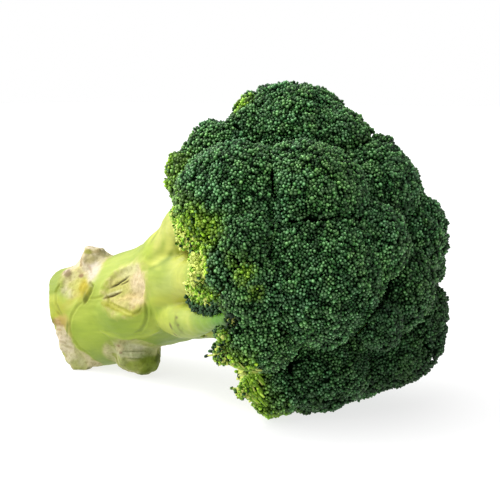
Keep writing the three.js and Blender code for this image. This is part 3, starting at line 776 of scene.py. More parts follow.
# marks on the near side: place, half sizes to the right and up (mm), turn, colour, strength, softness
NEAR_MARKS = [
    ((20.5, -17.0, 17.7), 6.5, 4.5, 14, (214, 208, 142), 0.9, 0.35),
    ((28.3, -11.2, 22.7), 5.5, 6.5, 0, (228, 216, 184), 0.92, 0.3),
    ((22.8, -14.8, 12.4), 4.8, 4.8, 0, (208, 200, 92), 0.85, 0.4),
    ((28.4, -10.7, 18.2), 3.0, 4.8, -8, (234, 224, 214), 0.85, 0.5),
    ((27.7, -11.8, 24.9), 2.5, 2.2, 0, (210, 200, 130), 0.7, 0.5),
    ((23.4, -14.3, 11.7), 2.6, 3.8, 12, (196, 178, 24), 0.9, 0.4),
    # the olive mark at the foot of the yellow V is painted shade in its crease
    ((23.0, -14.3, 7.3), 1.1, 2.6, 0, (142, 146, 22), 0.85, 0.5),
    ((17.6, -19.6, 20.9), 2.1, 1.8, 20, (146, 124, 92), 0.9, 0.4),
    ((23.0, -15.1, 18.2), 1.4, 1.1, 10, (150, 112, 78), 0.85, 0.5),
    ((25.8, -13.4, 26.1), 1.2, 2.8, 8, (196, 186, 134), 0.6, 0.5),
    ((27.6, -12.2, 28.7), 2.5, 1.3, -10, (158, 160, 44), 0.85, 0.4),
    ((30.6, -9.7, 27.7), 1.8, 0.9, 0, (170, 152, 96), 0.7, 0.5),
    ((32.8, -7.8, 26.0), 1.2, 1.8, 0, (176, 166, 118), 0.7, 0.5),
    ((19.0, -18.0, 14.7), 3.8, 2.2, 24, (206, 206, 112), 0.7, 0.5),
    ((30.9, -9.2, 23.9), 1.5, 1.5, 0, (220, 212, 160), 0.6, 0.5),
    ((27.0, -12.1, 20.4), 0.6, 2.0, 30, (176, 148, 112), 0.6, 0.6),
    ((22.4, -15.8, 20.6), 0.7, 1.7, 60, (184, 160, 120), 0.5, 0.6),
    ((18.2, -18.9, 17.9), 0.6, 1.8, 40, (178, 164, 110), 0.5, 0.6),
    ((7.6, -18.2, 17.6), 4.5, 5.5, 0, (160, 178, 60), 0.85, 0.4),
    ((9.6, -16.1, 10.8), 4.5, 2.5, 30, (176, 194, 76), 0.6, 0.5),
    ((5.7, -19.2, 9.1), 3.2, 4.0, 0, (198, 204, 84), 0.8, 0.4),
    ((3.5, -20.6, 4.7), 1.6, 6.0, 0, (178, 190, 60), 0.8, 0.4),
    # the dark spot at the notch by the cut end is painted shade
    ((1.8, -21.6, 0.1), 1.2, 2.2, 0, (120, 128, 62), 0.85, 0.4),
    ((6.7, -18.0, 5.2), 0.5, 3.0, 32, (150, 152, 52), 0.6, 0.6),
    ((5.8, -19.1, -0.5), 3.2, 2.5, 20, (216, 182, 124), 0.85, 0.4),
    ((4.8, -19.5, -6.8), 3.8, 4.5, 18, (238, 224, 190), 0.92, 0.3),
    ((5.0, -18.8, -14.5), 3.8, 4.5, 22, (242, 232, 196), 0.92, 0.3),
    ((6.0, -17.5, -20.4), 3.0, 3.5, 20, (232, 226, 182), 0.9, 0.35),
    ((8.1, -17.0, -4.3), 0.5, 4.5, -6, (140, 160, 50), 0.7, 0.5),
    ((4.4, -19.5, -10.3), 2.0, 0.5, -20, (190, 170, 130), 0.6, 0.6),
    ((6.0, -18.0, -13.3), 2.5, 0.5, -18, (176, 160, 110), 0.6, 0.6),
    ((4.6, -19.8, -4.2), 1.1, 0.5, 0, (206, 160, 110), 0.6, 0.6),
    ((7.3, -16.2, -23.9), 4.2, 4.2, 0, (190, 198, 116), 0.8, 0.4),
    ((8.7, -15.2, -22.3), 1.8, 2.2, 0, (214, 214, 160), 0.8, 0.5),
    # the dark mark along the end stub's right edge is painted shade
    ((10.1, -13.8, -27.4), 1.1, 2.5, -24, (104, 124, 52), 0.85, 0.5),
    ((4.6, -18.3, -24.6), 0.8, 2.8, 22, (196, 184, 134), 0.7, 0.5),
    ((6.8, -16.4, -26.8), 2.0, 1.0, 0, (176, 186, 92), 0.6, 0.5),
    ((42.9, -13.5, -23.1), 9.0, 3.8, -6, (206, 208, 166), 0.9, 0.3),
    ((38.4, -17.4, -19.9), 2.2, 2.1, 0, (208, 198, 154), 0.9, 0.4),
    ((38.5, -17.1, -22.5), 0.8, 0.6, 0, (150, 124, 92), 0.8, 0.5),
    ((38.0, -17.8, -19.0), 0.7, 0.5, 0, (160, 132, 100), 0.8, 0.5),
    # the two dark olive lines across the lower stub's top are painted shade in its creases
    ((44.0, -12.7, -23.6), 6.0, 0.4, 0, (122, 130, 74), 0.75, 0.5),
    ((44.3, -12.3, -25.6), 5.5, 0.8, -3, (182, 192, 140), 0.8, 0.5),
    ((43.5, -12.8, -27.1), 5.5, 0.5, -4, (108, 118, 46), 0.8, 0.5),
    ((46.8, -9.9, -31.3), 5.0, 4.5, 0, (128, 150, 28), 0.92, 0.3),
    ((41.7, -14.0, -30.1), 5.0, 2.8, 10, (152, 168, 62), 0.88, 0.35),
    ((38.7, -16.7, -26.7), 2.8, 1.8, 30, (156, 166, 94), 0.8, 0.4),
    # the dark marks on the lower stub's right edge and foot are painted shade
    ((50.3, -7.2, -30.0), 1.1, 3.0, -10, (94, 112, 20), 0.85, 0.5),
    ((44.4, -11.5, -34.9), 3.5, 1.2, 14, (104, 124, 14), 0.85, 0.5),
    ((48.2, -9.2, -24.9), 2.5, 1.7, 0, (170, 180, 110), 0.7, 0.5),
    ((43.1, -12.7, -32.1), 2.0, 0.5, 24, (176, 188, 90), 0.6, 0.6),
    ((48.5, -8.6, -30.4), 2.0, 0.6, -40, (150, 170, 50), 0.6, 0.6),
    ((86.2, -24.2, -12.9), 0.7, 0.6, 0, (110, 92, 40), 0.95, 0.4),
    ((86.0, -24.1, -16.1), 0.7, 0.6, 0, (120, 98, 44), 0.95, 0.4),
    ((86.3, -23.6, -19.4), 0.4, 3.5, -32, (150, 164, 70), 0.7, 0.5),
    ((85.4, -24.7, -14.0), 0.4, 3.0, -4, (150, 156, 70), 0.6, 0.5),
    ((89.1, -21.2, -21.7), 5.1, 1.5, -6, (196, 204, 124), 0.6, 0.5),
    ((93.0, -17.9, -25.0), 0.7, 0.6, 0, (96, 84, 40), 0.9, 0.5),
    ((93.5, -18.2, -15.3), 7.4, 1.4, 2, (214, 222, 150), 0.6, 0.5),
]
FACE = smooth(-0.05, 0.25, snorm @ NEAR)
for cx, hx, hy, turn, rgb, strength, soft in NEAR_MARKS:
    rel = SP - np.array(cx)
    a_, b_ = rel @ RIGHT, rel @ RISE
    ct, st = math.cos(math.radians(turn)), math.sin(math.radians(turn))
    q = np.hypot((a_ * ct + b_ * st) / hx, (-a_ * st + b_ * ct) / hy) + NW * (1.0 if min(hx, hy) > 1.5 else 0.4)
    m = strength * smooth(1.0 + soft, 1.0 - soft, q) * FACE * (np.abs(rel @ NEAR) < 16)
    col = blend(col, rgb, m)
dry = np.clip(np.maximum(dry, torn_all), 0, 1)

# the cut end: pale pith inside a greener ring
END = smooth(2.2, 0.6, X) * smooth(0.6, 0.9, -snorm[:, 0])
pith = smooth(21.0, 17.0, RAD + 0.9 * N1(SP, 5.0))
col = blend(col, (190, 206, 116), 0.9 * END)
col = blend(col, (224, 226, 176), 0.9 * END * pith)
col = blend(col, (204, 214, 142), 0.5 * END * np.exp(-((RAD - 17.5) / 1.0) ** 2))
dry = np.maximum(dry, 0.5 * END)

# creases and fine ridges on the near side, cut into and raised out of the relief; the dark colours along the creases
# are painted shade and the light ones on the raised ridges are painted highlight: points (to the right, up) in mm, half
# width, depth, colour, strength
LINES = [
    ([(8.0, 19.5), (10.2, 16.2), (9.4, 13.3), (7.6, 10.4), (5.7, 7.1)], 0.75, 0.75, (140, 146, 26), 0.85),
    ([(7.6, 10.4), (12.0, 10.6), (17.1, 12.0)], 0.55, 0.3, (186, 198, 64), 0.6),
    ([(17.1, 13.5), (19.5, 9.3), (23.2, 7.3), (27.3, 5.9), (31.5, 4.0), (34.3, 5.2), (36.1, 8.0)], 0.65, 0.45, (176, 178, 44), 0.7),
    ([(37.0, 10.4), (38.0, 6.6), (38.1, 3.3), (36.9, -0.3), (34.7, -3.4), (31.0, -5.2)], 0.72, 0.5, (140, 158, 40), 0.75),
    ([(6.2, 9.3), (2.3, 6.4), (-0.6, 2.1), (-2.0, -3.2), (-1.0, -8.5)], 0.62, 0.3, (174, 184, 66), 0.5),
    ([(-1.0, -8.5), (2.6, -13.5), (8.4, -17.2)], 0.55, 0.22, (180, 190, 92), 0.45),
    ([(13.5, -4.1), (18.5, -6.8), (26.3, -8.5), (36.3, -6.8), (44.2, -2.9)], 0.8, -0.4, (204, 216, 112), 0.6),
    ([(-7.1, 17.3), (-9.5, 12.9), (-9.0, 7.5), (-6.6, 3.1)], 0.6, 0.35, (168, 176, 58), 0.6),
    ([(39.9, 26.2), (43.5, 28.5), (47.1, 31.2), (49.3, 35.2), (50.2, 39.7)], 1.5, -0.6, (240, 242, 142), 0.95),
    ([(38.4, 24.4), (43.9, 26.5), (48.6, 29.6), (51.2, 34.6)], 0.9, 0.5, (150, 170, 44), 0.8),
    ([(37.0, 28.6), (41.6, 31.0), (45.4, 34.2), (47.4, 38.6)], 1.2, 0.4, (160, 180, 50), 0.55),
    ([(52.8, 39.6), (51.9, 35.2), (53.7, 30.8)], 0.9, 0.4, (170, 182, 66), 0.75),
    ([(55.5, 40.2), (56.4, 35.8), (55.2, 31.0)], 0.8, 0.3, (188, 176, 92), 0.6),
    ([(52.2, 5.5), (52.8, 2.0), (54.2, -1.1), (56.8, -3.3)], 0.5, 0.35, (140, 148, 62), 0.7),
]
SA, SB = SP @ RIGHT, SP @ RISE
groove = np.zeros(len(SP))
for pts, wide, deep, rgb, strength in LINES:
    pts = np.array(pts, float)
    best, along = np.full(len(SP), 1e9), np.zeros(len(SP))
    total = 0.0
    length = np.hypot(*np.diff(pts, axis=0).T).sum()
    for a, b in zip(pts[:-1], pts[1:]):
        e = b - a
        le = float(np.hypot(*e))
        u = np.clip(((SA - a[0]) * e[0] + (SB - a[1]) * e[1]) / le ** 2, 0, 1)
        d = np.hypot(SA - a[0] - u * e[0], SB - a[1] - u * e[1])
        near = d < best
        best = np.where(near, d, best)
        along = np.where(near, total + u * le, along)
        total += le
    ends = smooth(0.0, 0.22, along / length) * smooth(1.0, 0.78, along / length)
    fade = FACE * (0.55 + 0.45 * ends) * (1 + 0.9 * NW) * smooth(0.0, 1.5, along) * smooth(length, length - 1.5, along)
    q = best / (wide * (0.45 + 0.55 * ends))
    col = blend(col, rgb, np.clip(strength * np.exp(-q ** 2 * 0.8) * fade, 0, 1))
    groove = groove - deep * (np.exp(-q ** 2) - 0.35 * np.exp(-((q - 1.9) / 0.8) ** 2)) * fade

# green skin is a touch duller and yellower than the marks it is mixed from
col = col * (1 - (1 - dry)[:, None] * np.array([0.115, 0.09, 0.53])) * (1 - 0.04 * (1 - dry) * smooth(56, 72, X))[:, None]
# and its lower face is the deepest green
col = col * (1 - (FACE * (1 - dry) * smooth(3.0, -7.0, SB))[:, None] * np.array([0.05, 0.015, 0.14]))

# sculpt the fine relief
fib = np.stack([SP[:, 0] * 0.12, SP[:, 1], SP[:, 2]], -1)
relief = (0.15 * N1(fib, 2.2) + 0.08 * N2(SP, 4.0)) * (1 - dry)
relief = relief + dry * (0.30 * N3(SP, 1.5) + 0.28 * N1(SP, 3.2)) * (1 - 0.6 * END)
for x, ang, hx, ha, turn, depth in (
    (52.5, 23.6, 6.4, 0.6, 14, -0.7), (48.0, 10.6, 5.2, 0.6, 5, -0.6), (56.0, 21.4, 3.0, 0.5, 10, -0.4),
    (44, -47, 10, 1.4, 4, -1.0),
    (42, 169, 4.5, 0.8, 12, -0.8), (43.5, 162, 4.0, 0.7, 4, -0.6), (56.0, 152, 1.1, 6.0, 0, -0.7),
):
    relief = relief + depth * smooth(1.3, 0.5, patch(X, DEG, (x, ang), (hx, ha), turn)) * (X < 80)
# the relief fades out towards the border of the finer part, so that no gap opens there
relief = (relief + groove) * smooth(76.5, 73.0, X)
SP = SP + snorm * relief[:, None]
gh = ground_height(SP)
SP = SP + np.maximum(0.08 - gh, 0)[:, None] * UP
snorm = vertex_normals(SP, squads)
paint = np.concatenate([np.clip(col, 0, 1), dry[:, None]], 1)

stem_objects = {}
for i, name in enumerate(STEM_NODES):
    f = squads[fowner == i]
    if not len(f):
        print("no surface for", name)
        continue
    used, inv = np.unique(f, return_inverse=True)
    stem_objects[name] = make_object(name + "_skin", SP[used], inv.reshape(f.shape), {"stem": paint[used]}, normals=snorm[used])
print("stem quads", len(squads), {k: len(v.data.polygons) for k, v in stem_objects.items()})

# ------------------------------------------------------------------ bud heads

CN1, CN2 = Noise(51), Noise(67)


def fibonacci(n, axis_dir, cos_min):
    """even directions on the part of a sphere within a cone about axis_dir"""
    k = np.arange(n)
    z = 1 - (1 - cos_min) * (k + 0.5) / n
    phi = k * math.pi * (3 - math.sqrt(5))
    s = np.sqrt(np.maximum(0, 1 - z * z))
    d = np.stack([s * np.cos(phi), s * np.sin(phi), z], -1)
    a = unit(np.asarray(axis_dir, float))
    ref = unit(np.cross(a, [0.21, 0.43, 0.88] if abs(a[2]) < 0.9 else [1, 0, 0]))
    return d[:, :1] * ref + d[:, 1:2] * np.cross(a, ref) + d[:, 2:] * a


# places where a head swells out of its ball, or falls short of it: point, height in mm
BULGES = [
    ((133.9, -49.0, -43.4), -3.4),
    ((189.6, 39.7, -13.9), 2.5),
    ((190.6, 40.1, -8.0), 0.6),
    ((190.5, 43.5, -1.6), 1.9),
    ((187.8, 40.4, 10.5), -3.2),
    ((191.3, 28.8, 21.5), 1.9),
    ((185.9, 23.3, 37.8), 1.5),
    ((183.2, 20.8, 42.2), 3.0),
    ((171.5, 16.7, 58.7), 2.1),
    ((167.3, 13.0, 64.5), 1.7),
    ((157.0, 4.2, 71.9), 1.3),
    ((149.8, -1.7, 73.8), 1.6),
    ((147.6, -9.2, 72.7), 3.1),
    ((134.4, -19.3, 65.6), -2.4),
    ((133.5, -25.5, 64.2), 2.2),
    ((123.5, -32.9, 57.8), 1.5),
    ((121.1, -38.9, 53.5), 0.9),
    ((117.8, -41.3, 50.7), 1.3),
    ((115.9, -42.6, 47.0), 1.2),
    ((115.3, -42.8, 42.8), -0.6),
    ((175.4, 28.9, -58.6), 3.0),
    ((176.9, 33.1, -55.6), 2.0),
    ((170.1, 24.9, -62.2), 1.4),
    ((179.4, 34.9, -52.4), 0.2),
    ((180.3, 51.2, -19.5), 2.1),
    ((145.7, -2.4, -67.2), -1.6),
    ((145.2, 23.1, -66.8), -1.5),
    ((183.2, 36.3, -29.9), 2.0),
]

# the gap between two heads that the side branch runs into: its middle line and its half width
GAP_LINE = np.array([(100.0, -29.5, -17.5), (107.8, -33.2, -17.9), (119.0, -39.1, -19.1), (128.8, -44.4, -20.3), (137.0, -48.4, -20.4)])
GAP_HALF = np.array([6.8, 6.4, 5.2, 4.3, 2.6])


def gap_depth(P):
    """below 0 in the gap"""
    u, v, w = P @ RIGHT, P @ RISE, P @ NEAR
    lu, lv, lw = GAP_LINE @ RIGHT, GAP_LINE @ RISE, GAP_LINE @ NEAR
    out = np.full(u.shape, 1e3)
    for k in range(len(GAP_LINE) - 1):
        du, dv = lu[k + 1] - lu[k], lv[k + 1] - lv[k]
        t = np.clip(((u - lu[k]) * du + (v - lv[k]) * dv) / (du * du + dv * dv), 0, 1)
        d = np.hypot(u - lu[k] - t * du, v - lv[k] - t * dv) - (GAP_HALF[k] + t * (GAP_HALF[k + 1] - GAP_HALF[k]))
        floor_ = lw[k] + t * (lw[k + 1] - lw[k]) - 3.0
        out = np.minimum(out, np.maximum(d, floor_ - w))
    return out


class Head:
    """one head of buds: part of a ball, bounded by its neighbours' balls, by its back and the ground"""

    def __init__(self, i):
        self.i = i
        self.name = HEAD_NAMES[i]
        self.c, self.R, self.out = HC[i], HR[i], HOUT[i]
        self.rng = np.random.default_rng(100 + i)
        self.planes = []
        for j in range(len(HC)):
            if j == i:
                continue
            n = HC[j] - self.c
            far = np.linalg.norm(n)
            if far > self.R + HR[j]:
                continue
            at = (far ** 2 + self.R ** 2 - HR[j] ** 2) / (2 * far)
            if at < self.R:
                self.planes.append((n / far, at, 1.0 if i < j else -1.0))
        self.back = HBACK[i] * self.R
        # lobes and clumps that the buds are grouped in
        nl = max(4, int(round(4 * math.pi * self.R ** 2 / 165.0)))
        self.lobes = unit(fibonacci(nl, self.out, -1) + self.rng.normal(0, 0.13, (nl, 3)))
        self.lobe_h = self.rng.uniform(-0.6, 0.5, nl)
        nc = max(12, int(round(4 * math.pi * self.R ** 2 / 24.0)))
        self.clumps = unit(fibonacci(nc, self.rng.normal(0, 1, 3), -1) + self.rng.normal(0, 0.07, (nc, 3)))
        self.clump_h = self.rng.uniform(-0.55, 0.55, nc)
        self.clump_tone = self.rng.uniform(0, 1, nc)

    def nearest2(self, U, sites):
        d = np.arccos(np.clip(U @ sites.T, -1, 1)) * self.R
        k = np.argpartition(d, 1, axis=1)[:, :2]
        a = np.take_along_axis(d, k, 1)
        swap = a[:, 0] > a[:, 1]
        a[swap] = a[swap][:, ::-1]
        k[swap] = k[swap][:, ::-1]
        return k[:, 0], a[:, 0], a[:, 1]

    def sphere(self, U):
        p = self.c + U * self.R
        # the lobes' borders wander
        W = unit(U + 0.9 / self.R * np.stack([CN1(p, 5.0), CN2(p, 5.0), CN1(p + 40.0, 5.0)], -1))
        k, f1, f2 = self.nearest2(W, self.lobes)
        h = self.lobe_h[k] * smooth(0, 4, f2 - f1) - 1.45 * np.exp(-(f2 - f1) / 1.4)
        m, g1, g2 = self.nearest2(W, self.clumps)
        h = h + self.clump_h[m] * smooth(0, 1.5, g2 - g1) - 0.9 * np.exp(-(g2 - g1) / 0.8)
        h = h + 0.7 * CN1(p, 13.0)
        for at, high in BULGES:
            h = h + high * np.exp(-((p - np.array(at)) ** 2).sum(-1) / 60.0)
        r = self.R - 0.9 + h
        # towards the stalk the head thins out into its stems
        r = r - 2.4 * bareness(p)
        return r, m, np.minimum(g2 - g1, f2 - f1)

    def wall(self, U, gap):
        w = np.full(len(U), 1e3)
        for n, at, sign in self.planes:
            c = U @ n
            near = c > at / (1.25 * self.R)
            if not near.any():
                continue
            v = at / c[near]
            p = self.c + U[near] * v[:, None]
            warp = sign * (1.5 * CN2(p, 11.0) + 1.0 * CN1(p + 17.0, 5.5))
            w[near] = np.minimum(w[near], (at + warp - gap) / c[near])
        return w

    def back_wall(self, U):
        c = -(U @ self.out)
        return np.where(c > 1e-3, (self.back + 0.5) / np.maximum(c, 1e-3), 1e3)

    def slot(self, U):
        """how far out along U the head goes before it meets the side branch's gap"""
        out = np.full(len(U), 1e3)
        if self.name not in ("bud_head_near_middle", "bud_head_near_lower", "bud_head_near_rim", "bud_head_face_large"):
            return out
        t = np.linspace(0.2 * self.R, self.R + 2.5, 26)
        g = gap_depth(self.c + U[:, None, :] * t[None, :, None] + 0.0)
        g = g + 0.5 * CN2(self.c + U * self.R, 3.0)[:, None]
        first = np.argmax(g < 0, axis=1)
        m = (g < 0).any(1)
        out[m] = t[first[m]] - 0.6
        return out

    def ground(self, U, h0):
        g = U @ UP
        hc = ground_height(self.c)
        return np.where(g < -1e-3, (h0 - hc) / np.minimum(g, -1e-3), 1e3)


# where the buds give way to bare stems, and where they are still yellow, as how far along from
# the crown's middle, by the angle round the stalk
RIM_DEG = [-180, -150, -120, -90, -70, -60, -50, -40, -33, -26, -15, -8, -3, 4, 11, 18, 24, 36, 60, 90, 120, 150, 180]
RIM_BARE = [-27, -28, -26, -24, -21, -19, -16, -11, -9, -11, -9, -5, -2, -1, -8, -15, -20, -28, -29, -29, -28, -28, -27]
RIM_YELLOW = [-13, -15, -12, -12, -9, -5, -3, 0, 3, -2, 0, 0, 1, 5, 14, 12, 3, -15, -20, -18, -15, -14, -13]


def rim_side(P):
    deg = np.degrees(np.arctan2(P[..., 2], -P[..., 1]))
    return P[..., 0] - CROWN_AT, deg


def bareness(P):
    x, deg = rim_side(P)
    b = np.interp(deg, RIM_DEG, RIM_BARE)
    return smooth(2.0, -4.0, x - b + 2.2 * CN1(P, 7.0) + 1.0 * CN2(P, 3.0))


def yellowness(P):
    """how yellow the buds are: strong where the crown's rim turns under towards the stalk"""
    x, deg = rim_side(P)
    b = np.interp(deg, RIM_DEG, RIM_YELLOW)
    y = smooth(3.0, -9.0, x - b + 4.0 * CN1(P + 9.0, 8.0) + 2.0 * CN2(P, 3.5))
    # but it stays green up to the rim above the neck
    q = np.hypot((P @ RIGHT - 57.0) / 8.0, (P @ RISE - 54.0) / 6.5) + 0.35 * CN2(P + 5.0, 4.0)
    y = y * (1 - 0.62 * smooth(1.25, 0.65, q) * smooth(92, 106, P @ NEAR))
    r = np.hypot(P[..., 1], P[..., 2])
    y = np.maximum(y, smooth(52, 38, r) * smooth(10, -8, x))
    for c, s, k in SPOTS:
        y = np.maximum(y, k * smooth(1.4, 0.4, np.linalg.norm(P - np.array(c), axis=-1) / s + 0.5 * CN2(P, 3.0)))
    return np.clip(y, 0, 1)


# a few places on the crown where young buds show yellow
SPOTS = [((160.6, -63.9, -4.1), 4.6, 1.0), ((163.0, -63.3, -12.4), 3.6, 0.95), ((157, -65, 2), 4.0, 0.3),
         ((145.0, -19.5, 66.2), 4.6, 0.95), ((142.0, -16.0, 67.4), 3.6, 0.7), ((147.5, -17.5, 68.5), 3.4, 0.5),
         ((128.0, -45.0, 46.0), 7.0, 0.5), ((120.0, -43.0, 38.0), 6.0, 0.6), ((126, -30, 56), 6.0, 0.35),
         ((128, -42, -56), 9.0, 0.9), ((131, -33, -62), 7.0, 0.6)]

heads = [Head(i) for i in range(len(HEAD_NAMES))]

# painted light and shade: the heads on top are painted a lighter green and the low heads a darker one, as the light
# falls
HEAD_LIGHT_SHADE = {"bud_head_upper_near": 1.10, "bud_head_top": 1.14, "bud_head_top_face": 1.10, "bud_head_top_rim": 1.1, "bud_head_upper_rim": 1.15,
             "bud_head_bottom_large": 0.84, "bud_head_bottom_face": 0.66, "bud_head_lower_far": 0.74, "bud_head_lower_small": 0.74,
             "bud_head_face_lower": 0.88, "bud_head_near_small": 0.9}
BEAD = 1.38  # spacing of the buds, mm
RINGS = [(-0.62, 0.82), (0.42, 0.92)]
SIDES = 6


def bead_template():
    v, f = [], []
    for k, (z, r) in enumerate(RINGS):
        for s in range(SIDES):
            a = 2 * math.pi * (s + 0.5 * (k % 2)) / SIDES
            v.append((r * math.cos(a), r * math.sin(a), z))
    v.append((0, 0, 1.02))
    for k in range(len(RINGS) - 1):
        for s in range(SIDES):
            a, b = k * SIDES + s, k * SIDES + (s + 1) % SIDES
            c, d = a + SIDES, b + SIDES
            if k % 2 == 0:
                f += [(a, b, c), (b, d, c)]
            else:
                f += [(a, b, d), (a, d, c)]
    top = len(RINGS) * SIDES
    o = (len(RINGS) - 1) * SIDES
    for s in range(SIDES):
        f.append((o + s, o + (s + 1) % SIDES, top))
    return np.array(v), np.array(f)


BV, BF = bead_template()
# how far up the bud each ring lies; the buds' material paints the low ring dark as painted shade and the top bright as
# a painted highlight
BTIP = np.concatenate([np.full(SIDES, t) for t in (0.12, 0.70)] + [np.array([1.0])])


def beads(P, N, size, rng):
    """bead meshes at points P along N"""
    n = len(P)
    ref = np.where(np.abs(N[:, 2:3]) < 0.9, np.array([[0, 0, 1.0]]), np.array([[1.0, 0, 0]]))
    a = unit(np.cross(N, ref))
    b = np.cross(N, a)
    ang = rng.uniform(0, 2 * math.pi, n)
    ca, sa = np.cos(ang)[:, None], np.sin(ang)[:, None]
    a, b = ca * a + sa * b, -sa * a + ca * b
    tall = rng.uniform(0.9, 1.6, n)
    wide = rng.uniform(0.80, 1.22, n)
    rough = rng.uniform(0.90, 1.10, (n, len(BV), 1))
    V = (P[:, None, :]
         + BV[None, :, 0:1] * rough * (a * (size * wide)[:, None])[:, None, :]
         + BV[None, :, 1:2] * rough * (b * (size / wide)[:, None])[:, None, :]
         + BV[None, :, 2:3] * rough * (N * (size * tall)[:, None])[:, None, :])
    F = BF[None] + (np.arange(n) * len(BV))[:, None, None]
    return V.reshape(-1, 3), F.reshape(-1, 3)


def icosphere(level):
    t = (1 + 5 ** 0.5) / 2
    v = unit(np.array([(-1, t, 0), (1, t, 0), (-1, -t, 0), (1, -t, 0), (0, -1, t), (0, 1, t), (0, -1, -t),
                       (0, 1, -t), (t, 0, -1), (t, 0, 1), (-t, 0, -1), (-t, 0, 1)], float))
    f = np.array([(0, 11, 5), (0, 5, 1), (0, 1, 7), (0, 7, 10), (0, 10, 11), (1, 5, 9), (5, 11, 4),
                  (11, 10, 2), (10, 7, 6), (7, 1, 8), (3, 9, 4), (3, 4, 2), (3, 2, 6), (3, 6, 8),
                  (3, 8, 9), (4, 9, 5), (2, 4, 11), (6, 2, 10), (8, 6, 7), (9, 8, 1)])
    for _ in range(level):
        e = np.sort(np.concatenate([f[:, [0, 1]], f[:, [1, 2]], f[:, [2, 0]]]), 1)
        u, inv = np.unique(e, axis=0, return_inverse=True)
        inv = inv.ravel()
        m = unit(v[u].sum(1))
        k = len(f)
        ab, bc, ca = inv[:k] + len(v), inv[k:2 * k] + len(v), inv[2 * k:] + len(v)
        v = np.concatenate([v, m])
        f = np.concatenate([np.stack([f[:, 0], ab, ca], 1), np.stack([f[:, 1], bc, ab], 1),
                            np.stack([f[:, 2], ca, bc], 1), np.stack([ab, bc, ca], 1)])
    return v, f


ICO = {k: icosphere(k) for k in (2, 3, 4)}

head_objects = {}
# where the crown's edge lies over the near side of the neck the buds are young: (to the right, up), mm
NECK = np.array([(64.8, 15.9), (67.2, 18.7), (68.0, 23.1), (68.0, 28.6), (66.8, 33.4), (64.4, 37.4), (61.3, 41.0), (57.7, 44.5), (53.7, 48.1), (51.3, 50.9)])


def at_neck(p):
    a, b = p @ RIGHT, p @ RISE
    d = a - np.interp(b, NECK[:, 1], NECK[:, 0]) + 0.9 * CN1(p, 5.0)
    front = smooth(92, 106, p @ NEAR)
    young = smooth(1.2, -1.6, d) * smooth(13.5, 16.0, b) * smooth(52.5, 49.5, b) * front
    return young, smooth(-0.8, -3.0, d) * smooth(27.5, 31.0, b) * smooth(49.5, 47.0, b) * front


